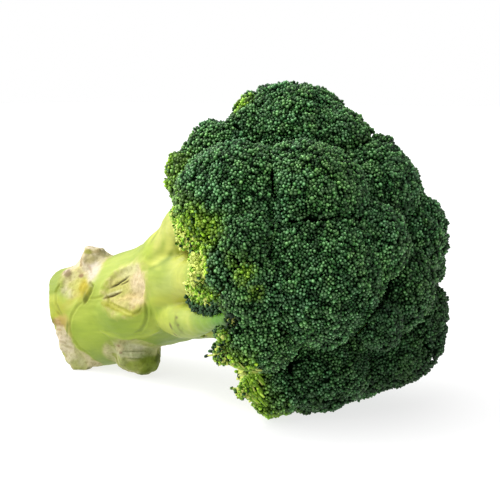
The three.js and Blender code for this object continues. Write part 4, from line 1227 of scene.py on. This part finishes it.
bed_faces = {}
total_beads = 0
for h in heads:
    rng = h.rng
    # ---- the body under the buds
    lev = 4 if h.R > 21 else 3
    U, F = ICO[lev]
    rs, m, edge = h.sphere(U)
    w = h.wall(U, 0.5)
    r = smin(rs - 0.55, w, 1.2)
    r = smin(r, h.back_wall(U), 3.0)
    r = np.minimum(r, h.ground(U, 0.25))
    r = np.minimum(r, h.slot(U) - 0.4)
    V = h.c + U * np.maximum(r, 0.5)[:, None]
    yel = yellowness(V)
    bare = np.maximum(bareness(V), smooth(0.0, 1.5, rs - 0.55 - r) * smooth(0.15, -0.25, U @ h.out) * smooth(-2, -10, V[:, 0] - CROWN_AT - 4))
    bare = np.minimum(bare, 0.78)
    neck, open_ = at_neck(V)
    bare, yel = np.maximum(bare, np.maximum(0.7 * neck, open_)), np.maximum(yel, neck)
    # where the body is not bare its first channel is 0, which the material paints near black: painted shade between the
    # buds
    base_col = np.stack([-bare, np.full(len(V), 0.5), h.clump_tone[m], yel], -1)
    # ---- buds
    n = int(4 * math.pi * h.R ** 2 / (0.866 * BEAD ** 2) * 0.98)
    B = fibonacci(n, h.out, -1)
    B = unit(B + rng.normal(0, 0.26 * BEAD / h.R, B.shape))
    rs, m, edge = h.sphere(B)
    w = h.wall(B, 0.7)
    bw = h.back_wall(B)
    keep = (rs - w < 1.2) & (rs < bw + 1.0) & (rs < h.ground(B, 0.2) + 1.0)
    B = B[keep]
    s = BEAD / h.R
    for _ in range(4):
        d = B[:, None, :] - B[None, :, :]
        dist = np.sqrt((d ** 2).sum(-1)) + 10 * np.eye(len(B))
        f = np.clip(1 - dist / s, 0, 1) / np.maximum(dist, 1e-6)
        B = unit(B + 0.35 * s * (d * f[..., None]).sum(1))
    rs, m, edge = h.sphere(B)
    w = h.wall(B, 0.7)
    r = smin(rs, w, 1.0)
    r = np.minimum(r, h.ground(B, 0.75))
    sl_ = h.slot(B)
    slot = (sl_ < rs) & (sl_ < w) & (sl_ > 0.3 * h.R)
    keep = ((r > rs - 2.6) | slot) & (rs < h.back_wall(B) + 1.5)
    r = np.minimum(r, sl_)
    P = h.c + B * r[:, None]
    bare = bareness(P)
    keep &= rng.uniform(0, 1, len(P)) > np.maximum(smooth(0.15, 0.85, bare) * 0.93, 0.86 * at_neck(P)[1])
    B, rs, m, edge, r, P, bare, slot = B[keep], rs[keep], m[keep], edge[keep], r[keep], P[keep], bare[keep], slot[keep]
    # lean each bud out of its clump, and a little at random
    N = unit(B + 0.34 * (B - h.clumps[m]) * h.R / 3.0 + rng.normal(0, 0.24, B.shape))
    size = BEAD * 0.56 * rng.uniform(0.74, 1.22, len(P)) * (0.84 + 0.16 * smooth(0, 1.4, edge))
    size = size * (1 - 0.12 * bare)
    P = P + B * rng.uniform(-0.60, 0.36, len(P))[:, None]
    low = ground_height(P) < 0.95
    P = P + np.where(low, 0.95 - ground_height(P), 0)[:, None] * UP
    BV_, BF_ = beads(P, N, size, rng)
    gh = ground_height(BV_)
    BV_ = BV_ + np.maximum(0.05 - gh, 0)[:, None] * UP
    yel = yellowness(P) * rng.uniform(0.65, 1.0, len(P))
    yel = np.where(rng.uniform(0, 1, len(P)) < 0.12 * (yel > 0.4), 0.15, yel)
    tone = np.clip(0.42 * h.clump_tone[m] + 0.22 * rng.uniform(0, 1, len(P)) + 0.16 + 0.26 * CN2(P, 17.0), 0, 1)
    # painted shade: buds in the creases between lobes and clumps, and in the side branch's gap, get darker tips
    tip = np.tile(BTIP, (len(P), 1)) * ((0.58 + 0.42 * smooth(0.0, 1.3, edge)) * np.where(slot, 0.4, 1.0))[:, None]
    pale = (bare > 0.45) & (rng.uniform(0, 1, len(P)) < 0.62)
    tip[pale] = -0.9
    rep = len(BV)
    # each head's factor of painted light and shade brightens or darkens its buds and dims the tips of the darker heads
    own = HEAD_LIGHT_SHADE.get(h.name, 1.0)
    rnd_light_shade = np.clip(rng.uniform(0, 1, len(P)) * own + 0.35 * (own - 1.0), 0, 1)
    neck = at_neck(P)[0]
    kind = rng.uniform(0, 1, len(P))
    young = (neck > 0.3) & (kind > 0.05)
    yel = np.where(young, np.maximum(yel, rng.uniform(0.85, 1.0, len(P))), yel)
    rnd_light_shade = np.where(young, np.maximum(rnd_light_shade, rng.uniform(0.55, 1.15, len(P))), rnd_light_shade)
    tip[young & (kind > 1 - 0.42 * neck)] = -0.85
    if own < 1:
        tip = np.where(tip > 0, tip * (0.72 + 0.28 * own), tip)
    col = np.stack([tip.ravel(), np.repeat(rnd_light_shade, rep), np.repeat(tone, rep), np.repeat(yel, rep)], -1)
    total_beads += len(P)
    allV = np.concatenate([V, BV_])
    allF = np.concatenate([F, BF_ + len(V)])
    allC = np.concatenate([base_col, col])
    head_objects[h.name] = (allV, allF, allC)
    bed_faces[h.name] = len(F)


def tube(pts, radii, sides=6):
    """a thin stem through pts"""
    pts = np.asarray(pts, float)
    n = len(pts)
    t = np.gradient(pts, axis=0)
    t = unit(t)
    ref = np.array([0.3, 0.5, 0.81])
    a = unit(np.cross(t, ref))
    b = np.cross(t, a)
    ang = 2 * math.pi * np.arange(sides) / sides
    V = pts[:, None] + (a[:, None] * np.cos(ang)[None, :, None] + b[:, None] * np.sin(ang)[None, :, None]) * np.asarray(radii)[:, None, None]
    V = V.reshape(-1, 3)
    F = []
    for i in range(n - 1):
        for k in range(sides):
            p, q = i * sides + k, i * sides + (k + 1) % sides
            F += [(p, q, q + sides), (p, q + sides, p + sides)]
    V = np.concatenate([V, pts[:1], pts[-1:]])
    for k in range(sides):
        F += [((k + 1) % sides, k, len(V) - 2), ((n - 1) * sides + k, (n - 1) * sides + (k + 1) % sides, len(V) - 1)]
    return V, np.array(F)


def join(name, V, F, C):
    allV, allF, allC = head_objects[name]
    head_objects[name] = (np.concatenate([allV, V]), np.concatenate([allF, F + len(allV)]), np.concatenate([allC, C]))


def bud_colours(n, tip, rnd, tone, yellow):
    """the colours of n buds, the same for all of a bud's vertices but its tip's shading"""
    rep = len(BV)
    t = np.where(np.asarray(tip)[:, None] < 0, np.asarray(tip)[:, None], np.asarray(tip)[:, None] * BTIP[None])
    return np.stack([t.ravel()] + [np.repeat(np.asarray(v, float) * np.ones(n), rep) for v in (rnd, tone, yellow)], -1)


def add_sprig(name, root, tips, rng, yellow=0.0, thick=0.62, buds=3):
    """short pale stems from root, each with a few buds at its tip"""
    root = np.asarray(root, float)
    for tip_ in tips:
        tip_ = np.asarray(tip_, float)
        mid = 0.5 * (root + tip_) + rng.uniform(-0.6, 0.6, 3)
        V, F = tube([root, mid, tip_], [thick * 1.25, thick, thick * 0.75])
        join(name, V, F, np.tile([-rng.uniform(0.5, 1.0), 0.5, 0.5, 0.7], (len(V), 1)))
        d = unit(tip_ - root)
        n = max(1, int(round(buds * rng.uniform(0.5, 1.3))))
        P = tip_ + d * 0.4 + rng.normal(0, 0.42 if n > 1 else 0.0, (n, 3))
        N = unit(d + rng.normal(0, 0.45, (n, 3)))
        V, F = beads(P, N, 0.74 * rng.uniform(0.8, 1.2, n), rng)
        join(name, V, F, bud_colours(n, np.ones(n), rng.uniform(0.1, 0.7, n), 0.4, yellow * rng.uniform(0.5, 1.0, n)))


def add_knob(name, centre, size, rng, young=1.0, dark=0.1, pale=0.3, turn=0.0, spread=1.25, bright=(0.3, 0.9)):
    """a small knot of young buds; size is its half width, half height and half depth, mm"""
    ct, st = math.cos(math.radians(turn)), math.sin(math.radians(turn))
    B = np.stack([ct * RIGHT + st * RISE, -st * RIGHT + ct * RISE, NEAR]) * np.asarray(size, float)[:, None]
    centre = np.asarray(centre, float)
    U, F = ICO[2]
    lump = 1 + 0.16 * CN2(U * 9 + centre, 4.0) + 0.10 * CN1(U * 9 + centre, 2.0)
    V = centre + (U * (lump * 0.86)[:, None]) @ B
    join(name, V, F, np.tile([-0.8, 0.5, 0.5, 0.9], (len(V), 1)))
    r = float(np.mean(size))
    n = int(4 * math.pi * r * r / (0.866 * spread ** 2))
    U = unit(fibonacci(n, rng.normal(0, 1, 3), -1) + rng.normal(0, 0.25 * spread / r, (n, 3)))
    lump = 1 + 0.16 * CN2(U * 9 + centre, 4.0) + 0.10 * CN1(U * 9 + centre, 2.0)
    P = centre + (U * (lump * rng.uniform(0.86, 1.12, n))[:, None]) @ B
    N = unit((U / np.asarray(size)) @ (B / np.asarray(size)[:, None]) + rng.normal(0, 0.35, (n, 3)))
    keep = ground_height(P) > 1.0
    P, N = P[keep], N[keep]
    n = len(P)
    kind = rng.uniform(0, 1, n)
    yellow = np.where(kind < dark, 0.0, young * rng.uniform(0.6, 1.0, n))
    tip = np.where(kind > 1 - pale, -rng.uniform(0.6, 1.0, n), 1.0)
    V, F = beads(P, N, spread * 0.56 * rng.uniform(0.7, 1.2, n), rng)
    join(name, V, F, bud_colours(n, tip, np.where(kind < dark, 0.05, rng.uniform(*bright, n)), 0.5, yellow))


srng = np.random.default_rng(77)
# knots of pale young buds and stem ends between the stalk and the near heads
for name, at, size, young, dark, pale in (
    ("bud_head_upper_near", (129.7, -57.3, 19.6), (2.2, 3.0, 3.0), 0.95, 0.08, 0.45),
    ("bud_head_upper_near", (132.1, -57.4, 14.1), (4.6, 3.5, 4.2), 1.0, 0.03, 0.62),
    ("bud_head_upper_near", (136.0, -58.4, 10.8), (2.8, 2.8, 3.4), 0.95, 0.12, 0.35),
    ("bud_head_near_rim", (138.7, -62.6, 5.2), (3.2, 2.9, 3.6), 1.0, 0.02, 0.80),
    ("bud_head_near_rim", (139.6, -63.7, 0.2), (4.3, 3.5, 4.0), 1.0, 0.05, 0.70),
    ("bud_head_near_rim", (133.4, -60.2, -4.4), (4.5, 3.7, 3.8), 1.0, 0.02, 0.78),
    ("bud_head_near_rim", (138.2, -61.8, -8.2), (3.8, 2.4, 3.2), 0.95, 0.03, 0.05),
    ("bud_head_upper_near", (126.6, -54.8, 25.6), (2.0, 3.6, 2.6), 0.95, 0.10, 0.30),
):
    add_knob(name, at, size, srng, young, dark, pale, 0.0, 1.25, (0.75, 1.15))
for name, root, tips in (
    ("bud_head_near_rim", (139.0, -62.0, 7.0), [(136.2, -61.6, 9.1)]),
    ("bud_head_near_rim", (141.0, -64.0, 2.0), [(138.3, -66.5, 1.0), (140.6, -66.8, -1.6)]),
):
    add_sprig(name, root, tips, srng, 0.1, 0.6, 2)
# the loose knots and sprigs low on the near side
add_knob("bud_head_near_lower", (134.6, -56.7, -31.4), (3.4, 3.6, 3.4), srng, 0.55, 0.45, 0.08, 10, 1.35, (0.3, 1.0))
add_knob("bud_head_near_lower", (132.9, -56.2, -34.4), (3.0, 2.3, 2.8), srng, 0.9, 0.25, 0.20, -20, 1.3, (0.5, 1.0))
add_knob("bud_head_near_lower", (141.6, -53.2, -20.4), (3.2, 3.4, 2.6), srng, 0.1, 0.8, 0.0, 0, 1.35, (0.1, 0.6))
add_knob("bud_head_near_lower", (133.4, -51.6, -24.6), (4.2, 2.7, 3.2), srng, 0.35, 0.62, 0.0, -8, 1.35, (0.1, 0.9))
add_knob("bud_head_near_lower", (139.2, -59.2, -25.8), (2.2, 2.2, 2.4), srng, 0.9, 0.2, 0.1, 0, 1.3, (0.5, 1.0))
add_sprig("bud_head_near_lower", (133.0, -57.2, -32.0), [(128.9, -59.5, -31.9)], srng, 0.0, 0.5, 1)
add_sprig("bud_head_near_lower", (133.4, -57.4, -31.2), [(131.0, -58.7, -30.5)], srng, 0.0, 0.5, 1)
add_sprig("bud_head_near_lower", (142.6, -53.6, -40.6), [(136.8, -56.4, -36.4), (137.8, -55.6, -37.6), (135.6, -56.8, -36.2)], srng, 0.8, 0.75, 2)
add_sprig("bud_head_near_lower", (139.0, -52.0, -42.0), [(130.6, -45.6, -43.0)], srng, 0.3, 0.6, 1)
add_sprig("bud_head_bottom_near", (131.5, -43.0, -50.0), [(126.4, -46.4, -47.4), (127.4, -45.8, -48.2)], srng, 0.8, 0.6, 1)
add_sprig("bud_head_bottom_near", (131.5, -42.6, -51.0), [(127.6, -45.6, -49.6), (128.0, -44.8, -50.4), (128.3, -44.1, -52.2)], srng, 0.45, 0.6, 3)
add_knob("bud_head_bottom_near", (129.6, -44.6, -50.0), (2.6, 2.4, 2.4), srng, 0.95, 0.1, 0.2, 0, 1.3, (0.5, 1.0))


def add_streaks(name, middle, wide, high, count, rng, slope=-0.75):
    """thin pale stems that lie side by side over a head's underside"""
    i = HEAD_NAMES.index(name)
    c, R = HC[i], HR[i]
    for _ in range(count):
        p = np.asarray(middle, float) + RIGHT * rng.uniform(-wide, wide) + RISE * rng.uniform(-high, high)
        u = unit(p - c)
        run = unit(RIGHT * slope * rng.uniform(0.6, 1.3) + RISE * rng.uniform(0.6, 1.2))
        pts = []
        for t in (-1, 0, 1):
            q = unit(u + run * t * rng.uniform(2.0, 3.4) / R)
            pts.append(c + q * (R + 0.1 - 0.5 * abs(t) - 0.2 * rng.uniform()))
        if min(ground_height(np.array(pts))) < 1.2:
            continue
        V, F = tube(pts, np.array([0.40, 0.52, 0.34]) * rng.uniform(0.7, 1.1))
        shade = -rng.uniform(0.25, 0.8) if rng.uniform() < 0.3 else rng.uniform(0.3, 1.0)
        join(name, V, F, np.tile([shade, rng.uniform(0.2, 1.0), 0.5, rng.uniform(0.75, 1.0)], (len(V), 1)))
        n = 2
        V, F = beads(pts[2] + rng.normal(0, 0.5, (n, 3)), unit(u + rng.normal(0, 0.3, (n, 3))), 0.78 * rng.uniform(0.8, 1.2, n), rng)
        join(name, V, F, bud_colours(n, np.ones(n), rng.uniform(0.4, 1.0, n), 0.5, rng.uniform(0.5, 1.0, n)))


add_streaks("bud_head_bottom_near", (133.0, -42.6, -48.6), 4.6, 7.0, 46, srng)
add_streaks("bud_head_near_lower", (143.5, -55.0, -40.6), 5.0, 2.2, 14, srng)
# stems and stray buds all round the rim, where each head meets its branch
for h in heads:
    if HX[h.i] > 6:
        continue
    rng = np.random.default_rng(900 + h.i)
    n = int(7 + h.R * 0.6)
    U = unit(-0.35 * h.out + rng.normal(0, 1, (n * 8, 3)))
    p = h.c + U * h.R
    b = bareness(p)
    w = h.wall(U, 1.5)
    ok = (b > 0.25) & (b < 0.97) & (w > h.R) & (ground_height(p) > 4) & (h.R < h.back_wall(U) + 3)
    for u in U[ok][:n]:
        foot = h.c + u * (h.R * 0.66) - h.out * 2.0
        tips = []
        for _ in range(2):
            v = unit(u + rng.normal(0, 0.11, 3))
            q = h.c + v * (h.R - 1.8 + rng.uniform(-1.0, 0.8))
            if ground_height(q) > 2:
                tips.append(q)
        add_sprig(h.name, foot, tips, rng, 0.85, 0.62, 3)
for name in list(head_objects):
    allV, allF, allC = head_objects[name]
    head_objects[name] = make_object(name + "_buds", allV, allF, {"bud": allC})
print("buds", total_beads, "triangles", sum(len(o.data.polygons) for o in head_objects.values()))

# ---- the tiny floret along the side branch: a bent roll of dark buds, younger on its upper side
rng = np.random.default_rng(400)
ROLL = np.array([(103.6, -32.9, -6.9), (108.2, -35.0, -9.9), (114.0, -38.3, -12.0), (121.6, -41.8, -13.8), (129.0, -45.6, -14.6), (135.5, -48.6, -14.8)])
ROLL_R = [1.6, 2.5, 2.6, 2.6, 2.4, 1.8]
t_ = np.linspace(0, len(ROLL) - 1, 22)
mid_ = np.stack([np.interp(t_, np.arange(len(ROLL)), ROLL[:, k]) for k in range(3)], -1)
rad_ = np.interp(t_, np.arange(len(ROLL)), ROLL_R)
V, F = tube(mid_, rad_ - 0.5, 10)
top_ = (V - np.repeat(np.concatenate([mid_, mid_[[0, -1]]]), [10] * 22 + [1, 1], axis=0)) @ RISE
C = np.stack([-0.8 * smooth(0.6, 1.8, top_), np.full(len(V), 0.5), np.full(len(V), 0.4), smooth(0, 2, top_)], -1)
head_objects["small_floret"] = (V, F, C)
bed_faces["small_floret"] = len(F)
P, N = [], []
for k in range(25):
    t = (len(ROLL) - 1) * np.clip(k + rng.uniform(-0.45, 0.45), 0, 24) / 24
    m = np.array([np.interp(t, np.arange(len(ROLL)), ROLL[:, j]) for j in range(3)])
    r = float(np.interp(t, np.arange(len(ROLL)), ROLL_R))
    ax = unit(np.array([np.interp(t + 0.1, np.arange(len(ROLL)), ROLL[:, j]) for j in range(3)])
              - np.array([np.interp(t - 0.1, np.arange(len(ROLL)), ROLL[:, j]) for j in range(3)]))
    sd = unit(np.cross(ax, RISE))
    n = max(6, int(2 * math.pi * r / 1.3))
    for j in range(n):
        a = 2 * math.pi * (j + 0.5 * (k % 2) + rng.uniform(-0.4, 0.4)) / n
        d = sd * math.cos(a) + np.cross(sd, ax) * math.sin(a)
        P.append(m + d * (r + rng.uniform(-0.55, 0.7)) + ax * rng.uniform(-0.5, 0.5))
        N.append(unit(d + (ax * -0.9 if k == 0 else ax * 0.9 if k == 24 else 0) + rng.normal(0, 0.25, 3)))
P, N = np.array(P), np.array(N)
up_ = N @ RISE
V, F = beads(P, N, 1.40 * 0.56 * rng.uniform(0.75, 1.2, len(P)), rng)
yb = smooth(0.25, 0.8, up_) * smooth(126, 118, P[:, 0])
join("small_floret", V, F, bud_colours(len(P), np.where((yb > 0.6) & (rng.uniform(0, 1, len(P)) < 0.10), -0.7, 0.86), rng.uniform(0, 0.5, len(P)) + 0.4 * yb, rng.uniform(0.1, 0.6, len(P)), yb))
allV, allF, allC = head_objects.pop("small_floret")
floret = make_object("small_floret_buds", allV, allF, {"bud": allC})

# ------------------------------------------------------------------ materials


def new_material(name):
    m = bpy.data.materials.new(name)
    m.use_nodes = True
    nt = m.node_tree
    nt.nodes.clear()
    out = nt.nodes.new("ShaderNodeOutputMaterial")
    bsdf = nt.nodes.new("ShaderNodeBsdfPrincipled")
    nt.links.new(bsdf.outputs[0], out.inputs[0])
    return m, nt, bsdf


def node(nt, kind, **props):
    n = nt.nodes.new(kind)
    for k, v in props.items():
        setattr(n, k, v)
    return n


def mix_colour(nt, fac, a, b, blend="MIX"):
    n = node(nt, "ShaderNodeMix", data_type="RGBA", blend_type=blend)
    n.clamp_factor = True
    for sock, val in ((n.inputs[0], fac), (n.inputs[6], a), (n.inputs[7], b)):
        if hasattr(val, "is_output"):
            nt.links.new(val, sock)
        elif isinstance(val, (int, float)):
            sock.default_value = val
        else:
            sock.default_value = (*val, 1.0)
    return n.outputs[2]


def math_node(nt, op, a, b=None, c=None, clamp=False):
    n = node(nt, "ShaderNodeMath", operation=op)
    n.use_clamp = clamp
    for k, v in enumerate((a, b, c)):
        if v is None:
            continue
        if hasattr(v, "is_output"):
            nt.links.new(v, n.inputs[k])
        else:
            n.inputs[k].default_value = v
    return n.outputs[0]


def ramp(nt, fac, stops, interp="LINEAR"):
    n = node(nt, "ShaderNodeValToRGB")
    n.color_ramp.interpolation = interp
    el = n.color_ramp.elements
    while len(el) > 1:
        el.remove(el[-1])
    el[0].position = stops[0][0]
    el[0].color = (*stops[0][1], 1)
    for pos, c in stops[1:]:
        e = el.new(pos)
        e.color = (*c, 1)
    nt.links.new(fac, n.inputs[0])
    return n.outputs[0]


def noise(nt, coord, scale, detail=3.0, rough=0.55, stretch=None):
    n = node(nt, "ShaderNodeTexNoise")
    n.inputs["Scale"].default_value = scale
    n.inputs["Detail"].default_value = detail
    n.inputs["Roughness"].default_value = rough
    if stretch is not None:
        mp = node(nt, "ShaderNodeMapping")
        mp.inputs["Rotation"].default_value = (0, LEAN, 0)
        mp.inputs["Scale"].default_value = stretch
        nt.links.new(coord, mp.inputs["Vector"])
        coord = mp.outputs[0]
    nt.links.new(coord, n.inputs["Vector"])
    return n.outputs[0]


def bud_material(name, gloss):
    m, nt, bsdf = new_material(name)
    at = node(nt, "ShaderNodeAttribute", attribute_name="bud")
    sep = node(nt, "ShaderNodeSeparateColor")
    nt.links.new(at.outputs["Color"], sep.inputs[0])
    tip, rnd, tone = sep.outputs[0], sep.outputs[1], sep.outputs[2]
    yel = at.outputs["Alpha"]
    co = node(nt, "ShaderNodeTexCoord").outputs["Object"]
    # bud colour from the gap between buds up to its tip, green and young yellow alike: near black low down, a painted
    # shade of the gaps, and bright at the tip, partly its waxy bloom and partly a painted highlight
    cool = ramp(nt, tip, [(0.0, (0.0010, 0.0060, 0.0014)), (0.42, (0.0075, 0.038, 0.011)), (0.76, (0.028, 0.110, 0.034)), (1.0, (0.190, 0.370, 0.205))])
    warm = ramp(nt, tip, [(0.0, (0.0013, 0.0075, 0.0011)), (0.42, (0.0120, 0.048, 0.0060)), (0.76, (0.044, 0.130, 0.020)), (1.0, (0.230, 0.400, 0.130))])
    c = mix_colour(nt, tone, cool, warm)
    young = ramp(nt, tip, [(0.0, (0.020, 0.060, 0.002)), (0.42, (0.088, 0.194, 0.006)), (0.80, (0.212, 0.370, 0.016)), (1.0, (0.376, 0.520, 0.044))])
    c = mix_colour(nt, yel, c, young)
    # each bud's brightness: random, times a large noise, and on some heads with their painted light and shade in it
    bright = math_node(nt, "MULTIPLY_ADD", math_node(nt, "POWER", rnd, 1.6), 1.35, 0.50)
    big = noise(nt, co, 55.0, 2.0)
    bright = math_node(nt, "MULTIPLY", bright, math_node(nt, "MULTIPLY_ADD", big, 0.4, 0.8))
    comb = node(nt, "ShaderNodeCombineColor")
    for k in range(3):
        nt.links.new(bright, comb.inputs[k])
    c = mix_colour(nt, 1.0, c, comb.outputs[0], "MULTIPLY")
    # the underside, where the buds' stalks gather, is pale
    under = math_node(nt, "MULTIPLY", tip, -1.0, clamp=True)
    pale = mix_colour(nt, noise(nt, co, 700.0, 2.0), (0.49, 0.60, 0.062), (0.88, 0.93, 0.28))
    c = mix_colour(nt, under, c, pale)
    nt.links.new(c, bsdf.inputs["Base Color"])
    bsdf.inputs["Roughness"].default_value = 0.45
    bsdf.inputs["Specular IOR Level"].default_value = gloss
    bump = node(nt, "ShaderNodeBump")
    bump.inputs["Strength"].default_value = 0.35
    bump.inputs["Distance"].default_value = 0.0002
    nt.links.new(noise(nt, co, 2600.0, 2.0), bump.inputs["Height"])
    nt.links.new(bump.outputs[0], bsdf.inputs["Normal"])
    return m


def stem_material(name, ribs):
    m, nt, bsdf = new_material(name)
    at = node(nt, "ShaderNodeAttribute", attribute_name="stem")
    dry = at.outputs["Alpha"]
    co = node(nt, "ShaderNodeTexCoord").outputs["Object"]
    fibre = noise(nt, co, 420.0, 4.0, 0.6, stretch=(0.07, 1, 1))
    broad = noise(nt, co, 120.0, 3.0, 0.55, stretch=(0.16, 1, 1))
    fine = noise(nt, co, 1500.0, 3.0)
    grain = noise(nt, co, 800.0, 4.0, 0.65)
    c = at.outputs["Color"]
    streak = ramp(nt, fibre, [(0.32, (0.84, 0.86, 0.78)), (0.66, (1.12, 1.10, 1.16))])
    c = mix_colour(nt, ribs, c, streak, "MULTIPLY")
    c = mix_colour(nt, 0.6, c, ramp(nt, broad, [(0.35, (0.88, 0.92, 0.76)), (0.65, (1.08, 1.06, 1.18))]), "MULTIPLY")
    torn = ramp(nt, grain, [(0.30, (0.62, 0.54, 0.38)), (0.48, (0.96, 0.93, 0.86)), (0.72, (1.10, 1.08, 1.06))])
    c = mix_colour(nt, math_node(nt, "MULTIPLY", dry, 0.75), c, mix_colour(nt, 1.0, c, torn, "MULTIPLY"))
    nt.links.new(c, bsdf.inputs["Base Color"])
    rough = math_node(nt, "MULTIPLY_ADD", dry, 0.35, 0.40)
    rough = math_node(nt, "ADD", rough, math_node(nt, "MULTIPLY", fine, 0.14))
    nt.links.new(rough, bsdf.inputs["Roughness"])
    bsdf.inputs["Specular IOR Level"].default_value = 0.35
    bump = node(nt, "ShaderNodeBump")
    bump.inputs["Strength"].default_value = 0.4
    bump.inputs["Distance"].default_value = 0.0005
    hgt = math_node(nt, "ADD", math_node(nt, "MULTIPLY", fibre, 0.7), math_node(nt, "MULTIPLY", grain, math_node(nt, "MULTIPLY_ADD", dry, 1.0, 0.10)))
    nt.links.new(hgt, bump.inputs["Height"])
    nt.links.new(bump.outputs[0], bsdf.inputs["Normal"])
    return m


MAT_BUD = bud_material("buds", 0.20)
MAT_BED = bud_material("bud_bed", 0.02)
MAT_STALK = stem_material("stalk_skin", 0.5)
MAT_BRANCH = stem_material("branch_skin", 0.65)



def dress(ob, bed):
    """the buds' material, and the duller one on the first faces, which lie under the buds"""
    ob.data.materials.append(MAT_BUD)
    ob.data.materials.append(MAT_BED)
    index = np.zeros(len(ob.data.polygons), dtype=np.int32)
    index[:bed] = 1
    ob.data.polygons.foreach_set("material_index", index)


for name, ob in head_objects.items():
    dress(ob, bed_faces[name])
    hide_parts(name)
    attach(ob, "root")
dress(floret, bed_faces["small_floret"])
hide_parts("small_floret")
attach(floret, "root")
for name, ob in stem_objects.items():
    ob.data.materials.append(MAT_STALK if name == "stalk" or name.startswith("leaf") else MAT_BRANCH)
    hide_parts(name)
    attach(ob, "root")

# ------------------------------------------------------------------ floor, light, camera

fm, nt, bsdf = new_material("studio_floor")
co = node(nt, "ShaderNodeTexCoord").outputs["Object"]
nt.links.new(mix_colour(nt, noise(nt, co, 3.0, 2.0), (0.28, 0.28, 0.28), (0.30, 0.30, 0.30)), bsdf.inputs["Base Color"])
bsdf.inputs["Roughness"].default_value = 0.8
bsdf.inputs["Specular IOR Level"].default_value = 0.1
bsdf.inputs["Emission Color"].default_value = (1, 1, 1, 1)
bsdf.inputs["Emission Strength"].default_value = 0.755
fme = bpy.data.meshes.new("floor")
fme.from_pydata([(-6, -6, 0), (6, -6, 0), (6, 6, 0), (-6, 6, 0)], [], [(0, 1, 2, 3)])
floor = bpy.data.objects.new("floor", fme)
bpy.context.scene.collection.objects.link(floor)
fme.materials.append(fm)

# a bright white studio: even light from every side, stronger from one high corner
world = bpy.data.worlds.new("studio")
bpy.context.scene.world = world
world.use_nodes = True
wn = world.node_tree
wn.nodes.clear()
wo = node(wn, "ShaderNodeOutputWorld")
bg = node(wn, "ShaderNodeBackground")
direction = node(wn, "ShaderNodeTexCoord").outputs["Generated"]
dot = node(wn, "ShaderNodeVectorMath", operation="DOT_PRODUCT")
wn.links.new(direction, dot.inputs[0])
dot.inputs[1].default_value = (-0.55, -0.38, 0.745)
glow = math_node(wn, "POWER", math_node(wn, "MAXIMUM", dot.outputs["Value"], 0.0), 3.0)
level = math_node(wn, "MULTIPLY_ADD", glow, 3.7, 0.38)
seen = node(wn, "ShaderNodeLightPath").outputs["Is Camera Ray"]
level = math_node(wn, "MULTIPLY_ADD", math_node(wn, "SUBTRACT", 1.0, level), seen, level)
bg.inputs[0].default_value = (1, 1, 1, 1)
wn.links.new(level, bg.inputs[1])
wn.links.new(bg.outputs[0], wo.inputs[0])

sun = bpy.data.lights.new("key", "SUN")
sun.energy = 1.1
sun.angle = math.radians(14)
so = bpy.data.objects.new("key", sun)
bpy.context.scene.collection.objects.link(so)


def aim(ob, direction):
    from mathutils import Vector
    ob.rotation_euler = Vector(direction).to_track_quat("-Z", "Y").to_euler()


# the key comes from the camera's left, high up
aim(so, (0.50, 0.36, -1.0))

cam = bpy.data.cameras.new("camera")
cam.lens = 85.0
cam.sensor_width = 36.0
cam.clip_start = 0.01
co_ = bpy.data.objects.new("camera", cam)
bpy.context.scene.collection.objects.link(co_)
co_.location = (0.28991 + 0.04343, -0.40913 + 0.00044, 0.14002 - 0.0017)
co_.rotation_euler = (math.radians(82.0), 0, math.radians(38.0))
bpy.context.scene.camera = co_

vs = bpy.context.scene.view_settings
vs.view_transform = "Standard"
vs.look = "None"
vs.exposure = 0.0
vs.gamma = 1.0
